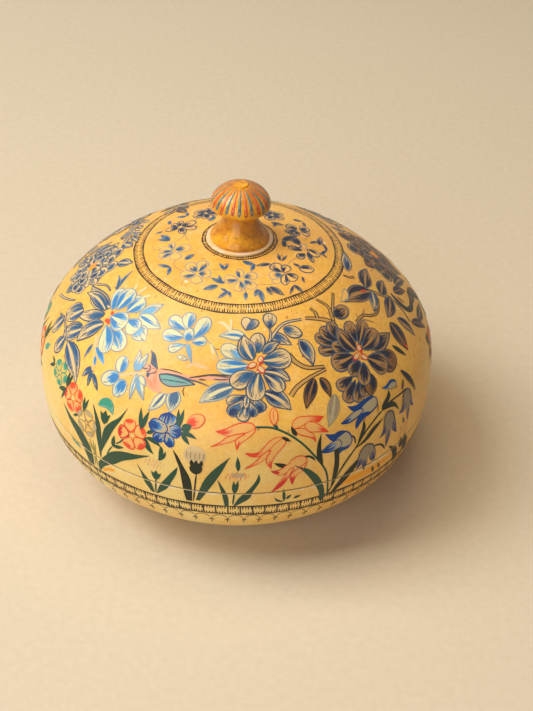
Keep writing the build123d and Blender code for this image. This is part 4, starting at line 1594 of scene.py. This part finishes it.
class BorderPlants(bpy.types.Operator):
    """Paint the flowering plants that rise from the ladder border over the seam"""

    bl_idname = "naqashi.plants"
    bl_label = "Border plants"

    def execute(self, context):
        art = Painting(context.scene, 51)
        front_left_plant(art, Spot(-40, 100))
        front_plants(art, Spot(-18, 92))
        rose_plant(art, Spot(4, 100))
        red_bells(art, Spot(24, 96))
        blue_bells(art, Spot(46, 94))
        far_left_plants(art, Spot(-62, 76))
        front_left_plant(art, Spot(98, 100))
        for turn in (132, 224):
            red_bells(art, Spot(turn, 96))
            blue_bells(art, Spot(turn + 22, 94))
        front_plants(art, Spot(186, 92))
        rose_plant(art, Spot(207, 100))
        front_left_plant(art, Spot(267, 100))
        art.piece("border_plants", "lid", keep=1)
        art.piece("border_roots", "bowl", keep=-1)
        return {"FINISHED"}


LEFT_BLADES = (
    ("dark full", ((-2.2, -16.2), (-2.1, -12), (-2.7, -8.6), (-5, -5), (-9, -1.6), (-15, 0.5), (-20.6, 3.1)),
     ((-4.9, -16.2), (-6, -13), (-8, -9), (-11, -5.8), (-16, -1.6))),
    ("dark full", ((2, -8.8), (1.2, -4), (0.4, 0), (-0.2, 5), (-1.5, 9), (-3.3, 12.4)),
     ((2.6, -8.8), (2.8, -2), (2.7, 3), (1.7, 6.5), (-0.5, 9.6))),
    ("dark full", ((2.3, -7), (3.1, 1), (4.4, 6), (7, 9.6), (10, 12.8), (12.6, 17.6)),
     ((2.3, -7), (4.1, -3), (6.2, 1.5), (8.4, 6.8), (11, 12.2))),
    ("dark full", ((0.5, -16.2), (0.6, -12.6), (2.8, -9.2), (5, -6.4), (8, -3.2), (13, -0.8), (19, 0.4),
     (24.8, 1.9)),
     ((1.5, -16.2), (3.6, -13), (6.8, -10.2), (9.2, -8.6), (13, -5.2), (18, -2.2))),
)

TEAL_TULIP = (
    ("jade full", ((-0.7, 12.9), (-0.1, 15.5), (2, 17.2), (4.4, 17.3), (6.5, 15.5), (7.1, 12.2)),
     ((-0.7, 12.9), (1, 13), (2.5, 13.4), (4, 13.4), (5.8, 12.8))),
)


def front_left_plant(art, spot):
    """Long dark blades, a teal tulip, two red flowers and a faded grey one."""
    art.stroke(spot, ((2.6, -15.4), (5.6, -13.6), (8.6, -12.2)), 1.6, "marigold")
    art.stroke(spot, ((4.4, -15.2), (6.6, -14.4), (9, -14.2)), 1.0, "cream")
    art.stroke(spot, ((4, 8), (3.7, 2), (2.6, -7)), 0.8, "straw")
    art.stroke(spot, ((-1.5, -3), (-1.1, -9), (-1.3, -15.4)), 0.55, "olive")
    art.stroke(spot, ((-0.5, -4), (-0.4, -9), (-0.2, -15.4)), 0.55, "olive")
    for x, y in ((-4, -5), (-2.6, -5.4), (-3.4, -3)):
        art.stroke(spot, ((-1.4, -8), (x, y)), 0.4, "olive")
    art.stroke(spot, ((5.4, -6), (6.6, -3.2), (8.2, -0.6)), 0.55, "leaf")
    art.stroke(spot, ((9.8, 1.4), (11.6, 3), (13.2, 5.2)), 0.6, "leaf")
    rosette(art, spot, "ghost tip round", -5, 3, 5.4, 80, share=0.9)
    art.stroke(spot, ((-5.6, 3), (-4.4, 3)), 1.3, "honey")
    spot.count = 4
    lobes(art, spot, LEFT_BLADES)
    spot.count = 8
    lobes(art, spot, TEAL_TULIP)
    art.leaves(spot, "green full leaf", (
        (8.3, -0.6, 9, 4.6, 1.8), (8.5, -0.4, 13.4, 1.2, 1.6), (-13, 1.8, -9.6, 4.2, 1.1),
    ))
    art.shape(spot, "jade full leaf", -15.8, -9.7, -9, -11.8, 1.8)
    art.leaves(spot, "green full leaf", (
        (-7.2, 7.2, -7.8, 12.8, 1.4), (-7, 7.2, -5.6, 12.9, 1.3), (-19.8, 11, -20.8, 16.8, 1.6),
        (-19.6, 11, -18.2, 17, 1.6), (-19.4, 9.8, -25, 7.8, 1.8), (-19.8, 9.6, -22.4, 4.2, 1.2),
        (20, 12.2, 18, 20, 1.8), (20.2, 12.2, 21.8, 20, 1.9),
    ))
    calyx(art, spot, 3.8, 7.2, 92, 1.1)
    spot.count = 8
    red_flower(art, spot, 16.6, 8.2, 6.1)
    spot.count = 8
    red_flower(art, spot, -14.2, 8.8, 6.0, "red deeptip round")


def far_left_plants(art, spot):
    """Teal flower and small leaves at the far left."""
    rosette(art, spot, "teal deeptip round", 3, -12.6, 5.6, 70, share=0.8)
    art.leaves(spot, "green full leaf", (
        (-2.4, -12.2, -6.8, -15.6, 1.8), (-3, -12, -6.4, -10.8, 1.4), (10, -14.4, 8.8, -8.6, 1.5),
        (10.2, -14.4, 11, -8.6, 1.5), (10, -16.2, 5, -19.2, 2.4),
    ))


FRONT_BLADES = (
    ("black full", ((9.2, -25), (8.2, -20), (7.4, -15), (6.4, -9), (5, -5), (3.5, -1)),
     ((11.6, -25), (11.4, -18), (10.4, -12.4), (7.6, -7), (5.6, -3.4))),
    ("dark full", ((13, -24), (14.2, -18), (16, -12), (19.5, -6.4), (24.8, -0.8)),
     ((14.6, -24), (17, -19), (20.4, -12), (22.4, -7.4))),
    ("green full", ((-5, -24.6), (-8, -19.5), (-8.9, -16), (-10.6, -12)), ((-3.6, -24.6), (-5, -19.4), (-8, -15.6))),
    ("green full", ((-3, -24.6), (-1.4, -19.4), (1.4, -14.4), (3.8, -10.6), (5.7, -8)),
     ((-2.4, -24.6), (1.6, -20.2), (3.4, -16), (5.2, -11.6))),
)

ROYAL_FLOWER = (
    ("royal deeptip", ((0.2, 5.2), (-2, 4.6), (-4.2, 3), (-3.8, 1.2), (-2, 0.7)),
     ((0.2, 5.2), (0.4, 3.4), (0, 1.8), (-0.8, 1))),
    ("royal deeptip", ((0.4, 5), (0.1, 2.6), (0.6, 0.8), (2.2, -0.3)),
     ((0.4, 5), (2.6, 4.2), (3.8, 2.2), (3.6, 0.4))),
    ("royal most", ((1, 5), (3, 3.8), (4.6, 3.8), (6, 5.4)), ((1.2, 7), (3, 8.6), (5, 8.2))),
    ("royal most", ((1.6, 7.4), (3.4, 8.6), (3.2, 10.8), (0.2, 12)), ((-1, 7.4), (-2.9, 8.4), (-2.6, 10.4))),
    ("royal deeptip", ((0.8, 6), (0, 4.6), (-3, 4), (-5.6, 4.8), (-6.5, 6.6)),
     ((0.8, 6), (-0.4, 8), (-3, 8.8), (-5.4, 8.5))),
)


def rubbed(art, spot, x, y, wide, tall, paints):
    """What is left of a rubbed flower: faint short dashes over an oval."""
    for i in range(26):
        a, r = 2.4 * i, math.sqrt((i + 0.5) / 26)
        px, py = x + wide * r * math.cos(a), y + tall * r * math.sin(a)
        reach = art.dice.uniform(0.5, 1.0)
        art.stroke(spot, ((px, py - reach), (px + 0.2, py + reach)), 0.3, paints[i % 3], INK_LIFT)


def front_plants(art, spot):
    """Blue flower with a red bud, a rubbed pink flower and a pale thistle between blades."""
    art.stroke(spot, ((12.8, -9), (12.5, -16), (12.1, -25)), 0.7, "moss")
    art.stroke(spot, ((-2.8, -16), (-3.3, -24.6)), 0.7, "blade")
    rubbed(art, spot, -3.4, -9, 4.2, 2.0, ("faded", "blush", "ash"))
    art.shape(spot, "puff bare ball", 7.6, -1.6, 15.9, -1.6, 7.6)
    for i in range(9):
        x = 8.6 + i * 0.8
        art.stroke(spot, ((x, -3.2), (x + 0.1, -0.2)), 0.28, "straw" if i % 2 else "pewter", PAINT_DEPTH - 0.06)
    spot.count = 3
    lobes(art, spot, FRONT_BLADES)
    art.leaves(spot, "green full leaf", (
        (-7.4, 1, -3.6, -5, 2.4, -0.8), (-7, 0.8, -1, -1.4, 2, 0.9), (-1, -0.8, -1.8, -7.2, 1.8, 0.6),
        (-1.8, -7, 1, -2.4, 1.4, -0.6), (-7, 2.8, -3.6, 4.4, 1.5), (4.6, 7.8, 3.3, 14, 1.6),
        (4.8, 7.8, 5.4, 14.4, 1.5), (5.8, 6, 11.8, 4.8, 1.7, 0.5), (6, 5.8, 9.4, 2.2, 1.7),
    ))
    art.bloom(spot, (
        ("red base oval", 7.6, 9.4, 13.6, 12.8, 4.8), ("green full leaf", 5.8, 7, 9.4, 9.4, 3.2),
        ("black full oval", 12.5, -10, 12.5, -4.6, 4.9),
    ))
    art.leaves(spot, "black full leaf", (
        (10.9, -6.4, 10.6, -3.4, 1.5), (12.4, -6.4, 12.4, -3.4, 1.5), (14.1, -6.4, 14.5, -3.2, 1.5),
    ))
    calyx(art, spot, -2.8, -17, 88, 0.95)
    spot.count = 7
    red_flower(art, spot, -12.6, -0.2, 6.1)
    spot.count = 8
    lobes(art, spot, ROYAL_FLOWER)


ROSE_BLADES = (
    ("dark full", ((-6.4, -17), (-7.4, -11), (-8.4, -7), (-9.2, -3.4)), ((-5, -17), (-5.2, -12), (-6.8, -7.6))),
    ("dark full", ((-3.4, -16.6), (-1.4, -12), (1.6, -8.4), (4.4, -4), (5.6, -0.4)),
     ((-2.6, -16.6), (2.4, -12.4), (3.6, -9), (6, -4))),
)


def rose_plant(art, spot):
    """A small plant with a rubbed red head, and a seedling beside it."""
    art.stroke(spot, ((-3, -9), (-3.5, -15.8)), 0.7, "blade")
    rubbed(art, spot, -2.2, -1.5, 4.4, 1.9, ("salmon", "vermilion", "ash"))
    art.stroke(spot, ((-4.2, -1.0), (0.4, -1.0)), 2.0, "dun", BAR_LIFT)
    lobes(art, spot, ROSE_BLADES)
    art.leaves(spot, "green full leaf", (
        (-1.8, 0.8, -2.2, 7, 1.7), (-3, -9.8, -3.4, -3.6, 1.6), (-2.9, -9.8, -1.7, -3.2, 1.5),
        (15.7, -15.6, 15, -8.8, 1.3), (15.6, -15.6, 11.8, -12.6, 1, 0.9), (16.4, -14.6, 18.3, -12.4, 1.4),
        (19.2, -14.8, 22.4, -14, 1.4),
    ))


BELL_BLADES = (
    ("dark full", ((3.2, -24.4), (2, -18), (-1, -11.6), (-4.6, -6), (-8.4, -2.2)),
     ((5, -24.4), (4.4, -18), (2, -11), (-2.4, -5.6))),
    ("black full", ((3, -5.4), (0.8, -2.6), (0.2, 1), (0.8, 5), (2.4, 8.4)), ((3, -5.4), (2.5, -1), (2, 3))),
    ("black full", ((7, -17), (7.4, -10), (7.6, -5), (7.2, 0.2)), ((8, -17), (9.5, -10), (9.6, -5)), (9.2, 0.6)),
    ("black full", ((6.8, -22.4), (10, -16.4), (14, -11.6), (20.4, -7)), ((7.6, -22.4), (13.4, -17), (17.6, -12.4))),
)


def red_bells(art, spot):
    """Arching stem of red bellflowers over dark blades."""
    low = spot.twin(-20, 4)
    stem = ((-23, 15), (-16, 13.9), (-10, 10.6), (-5, 6), (-1, 0.6), (2.6, -5), (5, -11), (6.4, -23))
    art.stroke(spot, stem, 0.8, "leaf", ends=(0.05, 0.02))
    art.stroke(spot, ((-5.6, 0.6), (-2.4, 0.2), (-0.2, -2)), 0.9, "moss")
    lobes(art, low, RED_BELLS_LOW)
    lobes(art, spot, RED_BELL_HIGH)
    spot.count = 4
    art.shape(low, "red bare oval", 11.3, 19, 11.6, 25.4, 3.2)
    art.stroke(low, ((11.4, 20), (11.2, 22.4), (11.5, 24.6)), 0.3, "vermilion")
    art.shape(spot, "green full leaf", -13.6, 13.4, -15.9, 15.8, 1.2)
    art.leaves(spot, "black full leaf", (
        (-10.4, -2.4, -15.9, 0, 1.9, 0.3), (-6.8, 9.5, -8.6, 13.4, 1.8, 0.3), (-12.6, 10, -9.2, 7.7, 1.3),
    ))
    spot.count = 8
    lobes(art, spot, BELL_BLADES)
    art.stroke(spot, ((15, -17.4), (20, -17.8), (26, -17.6)), 2.2, "marigold", PATCH_LIFT)
    art.stroke(spot, ((14, -19.2), (19, -19.4), (26, -19)), 1.0, "marigold", PATCH_LIFT)


BLUE_BLADES = (
    ("black full", ((-12.4, -4.6), (-11.2, -1), (-9, 3.4), (-8, 6)), ((-12.4, -4.6), (-9.4, -1), (-7.6, 2.6))),
    ("black full", ((-13, -4.8), (-9, -2.6), (-4.6, 0.6), (1.6, 2.2)), ((-13, -4.8), (-7.6, -3.6), (-3, -0.8))),
    ("black full", ((1, 4.8), (2, 7), (5.4, 9), (7.2, 10.8)), ((1, 4.8), (4.6, 6.4), (7.4, 8.4))),
    ("black full", ((1, 5), (5, 6.6), (8.8, 5), (10.8, 0.8)), ((1, 5), (5, 4.4), (8, 3.4))),
    ("black full", ((10.6, -25), (9, -19.4), (5.2, -13.2)), ((14, -25), (11.6, -18), (8.6, -15.4))),
    ("black full", ((17.6, -25), (16.6, -20), (18, -15.6)), ((21, -25), (20.4, -19))),
)


def blue_bells(art, spot):
    """Branching stem of blue bellflowers with blackish leaves."""
    stem = ((-25, -24), (-18.6, -11), (-12.6, -4.4), (-8, 0.4), (-2.6, 3.6), (1, 5))
    art.stroke(spot, stem, 0.8, "moss", ends=(0.05, 0.05))
    art.stroke(spot, ((-23.4, -20), (-19, -12.6), (-13.4, -5.6)), 0.5, "olive", ends=(0.05, 0.3))
    art.stroke(spot, ((3, 6.2), (9, 6.3), (14.4, 6.2), (17, 6.4)), 0.7, "moss")
    art.stroke(spot, ((-4, -8), (-0.4, -9), (1.6, -10.8), (3, -13.2)), 0.9, "moss")
    art.stroke(spot, ((0.2, 10.4), (-0.2, 7.4), (-1, 5.2)), 0.4, "umber")
    art.stroke(spot, ((12.4, 10.4), (12, 9)), 0.5, "moss")
    low = spot.twin(-22, 2)
    art.stroke(low, ((14.6, 4), (16.2, 2.4), (16.8, -0.6)), 0.7, "night")
    lobes(art, low, ROYAL_BELL_LOW)
    lobes(art, spot, ROYAL_BELL_HIGH)
    spot.count = 5
    lobes(art, spot, BLUE_BLADES)
    spot.count = 4
    lobes(art, spot, VIOLET_BELLS)
    for dome in VIOLET_DOMES:
        art.stroke(spot, dome, 0.5, "indigo", TOP_LIFT)
    art.bloom(spot, (
        ("green full leaf", 14.6, -7.6, 13.6, -4.2, 1.1), ("black full leaf", 14.4, -20, 13.6, -13.6, 2),
        ("black full leaf", 15, -20, 17.2, -13.8, 2), ("deep full leaf", 17.8, 13.8, 24, 2.4, 2.2, 0.6),
        ("deep bare leaf", 14.6, 7.4, 17, 10.2, 0.9), ("green full leaf", -3.2, -18.6, -2, -22.8, 1.1),
        ("green full leaf", 0, -18.6, 1.4, -22.4, 1),
    ))
    rubbed(art, spot, 15.2, -10.6, 3.6, 2.4, ("faded", "faded", "salmon"))
    art.stroke(spot, ((-20, -20.6), (-12, -19.8), (-2, -20.4), (9, -19.8)), 3.0, "marigold", PATCH_LIFT)


# ---------------------------------------------------------------- stage

FOCAL_PIXELS = 1600
IMAGE_HEIGHT = 711
SENSOR = 36.0
PITCH = 0.6384
ROLL = 0.0407
CAMERA_PLACE = (0.01172, -0.50302, 0.41812)
FLOOR_REACH = 1.6


class SetStage(bpy.types.Operator):
    """Add the floor, the soft light and the camera"""

    bl_idname = "naqashi.stage"
    bl_label = "Floor, light and camera"

    def execute(self, context):
        scene = context.scene
        floor_mesh = bpy.data.meshes.new("pale_floor")
        sides = ((-1, -1), (1, -1), (1, 1), (-1, 1))
        floor_mesh.from_pydata([(x * FLOOR_REACH, y * FLOOR_REACH, 0) for x, y in sides], [], [(0, 1, 2, 3)])
        floor = bpy.data.objects.new("pale_floor", floor_mesh)
        floor_mesh.materials.append(paper_floor())
        scene.collection.objects.link(floor)
        pale_world(scene)
        lamp("window_left", (-1.05, -0.12, 1.38), 1.0, 25.0, "#FFFCF4")
        lamp("soft_front", (-0.60, -1.48, 0.66), 1.3, 12.0, "#FFFBF8")
        lamp("soft_above", (-0.02, 0.08, 0.88), 0.5, 2.8, "#FFE0B0")
        aim_camera(scene)
        scene.view_settings.view_transform = "Standard"
        return {"FINISHED"}


def paper_floor():
    """Pale matt background paper, rolled out flat: a soft even tone with a faint tooth."""
    material, tree, shader, place = principled("background_paper_rolled")
    tooth = (3, 3, 0.5)
    base = glaze(tree, linear("#DDD3C2"), linear("#D8CEBC"), grain(tree, place, *tooth, 0.3, 0.7))
    gloss = grain(tree, place, *tooth, 0.3, 0.7, 0.8, 0.9)
    surface(tree, shader, base, gloss, (grain(tree, place, *tooth), 0.05))
    return material


def pale_world(scene):
    """Soft light from all round, and a pale backdrop for the camera."""
    world = bpy.data.worlds.new("soft_room")
    scene.world = world
    world.use_nodes = True
    tree = world.node_tree
    tree.nodes.clear()
    room = add(tree, "ShaderNodeBackground", {"Color": (*linear("#FFCC90"), 1), "Strength": 0.06})
    wall = add(tree, "ShaderNodeBackground", {"Color": (*linear("#DCD7CD"), 1), "Strength": 1.0})
    path = add(tree, "ShaderNodeLightPath").outputs
    seen = path["Is Camera Ray"]
    for kind in ("Is Glossy Ray", "Is Transmission Ray"):
        seen = add(tree, "ShaderNodeMath", links={0: seen, 1: path[kind]}, operation="MAXIMUM").outputs[0]
    mix = add(tree, "ShaderNodeMixShader", links={0: seen, 1: room.outputs[0], 2: wall.outputs[0]})
    add(tree, "ShaderNodeOutputWorld", links={"Surface": mix.outputs[0]})


def lamp(name, place, size, power, code):
    """A square soft light that looks at the middle of the box."""
    data = bpy.data.lights.new(name, "AREA")
    data.shape = "SQUARE"
    data.size = size
    data.energy = power
    data.color = linear(code)
    light = bpy.data.objects.new(name, data)
    light.location = place
    aim = Vector((0, 0, BELLY_HEIGHT * MM)) - Vector(place)
    light.rotation_euler = aim.to_track_quat("-Z", "Y").to_euler()
    bpy.context.scene.collection.objects.link(light)


def aim_camera(scene):
    """A long lens, looking down at the front of the box."""
    data = bpy.data.cameras.new("camera")
    data.lens = FOCAL_PIXELS / IMAGE_HEIGHT * SENSOR
    data.sensor_width = SENSOR
    camera = bpy.data.objects.new("camera", data)
    level = Vector((1, 0, 0))
    forward = Vector((0, math.cos(PITCH), -math.sin(PITCH)))
    upright = level.cross(forward)
    right = math.cos(ROLL) * level + math.sin(ROLL) * upright
    up = -math.sin(ROLL) * level + math.cos(ROLL) * upright
    turn = Matrix((right, up, -forward)).transposed().to_4x4()
    camera.matrix_world = Matrix.Translation(CAMERA_PLACE) @ turn
    scene.collection.objects.link(camera)
    scene.camera = camera


class NAQASHI_PT_box(bpy.types.Panel):
    """Steps of the painted box, in order"""

    bl_label = "Painted Box"
    bl_idname = "NAQASHI_PT_box"
    bl_space_type = "VIEW_3D"
    bl_region_type = "UI"
    bl_category = "Painted Box"

    def draw(self, context):
        for step in STEPS:
            self.layout.operator(step.bl_idname)
        for group in (context.scene.naqashi_sizes, context.scene.naqashi_colours):
            column = self.layout.column()
            for name in group.bl_rna.properties.keys():
                if name not in ("rna_type", "name"):
                    column.prop(group, name)


STEPS = (
    PaintShells, FitLinings, TurnKnob, InkBorders, CrownWreath, ShoulderFlowers, LeafSprays, PaintBulbul,
    BorderPlants, SetStage,
)
CLASSES = (NaqashiSizes, NaqashiColours) + STEPS + (NAQASHI_PT_box,)


def register():
    """Registers the classes and the settings."""
    for item in CLASSES:
        bpy.utils.register_class(item)
    bpy.types.Scene.naqashi_sizes = bpy.props.PointerProperty(type=NaqashiSizes)
    bpy.types.Scene.naqashi_colours = bpy.props.PointerProperty(type=NaqashiColours)


def unregister():
    """Takes them out again."""
    del bpy.types.Scene.naqashi_colours
    del bpy.types.Scene.naqashi_sizes
    for item in reversed(CLASSES):
        bpy.utils.unregister_class(item)


def main():
    """Builds everything in order."""
    register()
    for step in STEPS:
        group, name = step.bl_idname.split(".")
        getattr(getattr(bpy.ops, group), name)()


if __name__ == "__main__":
    main()
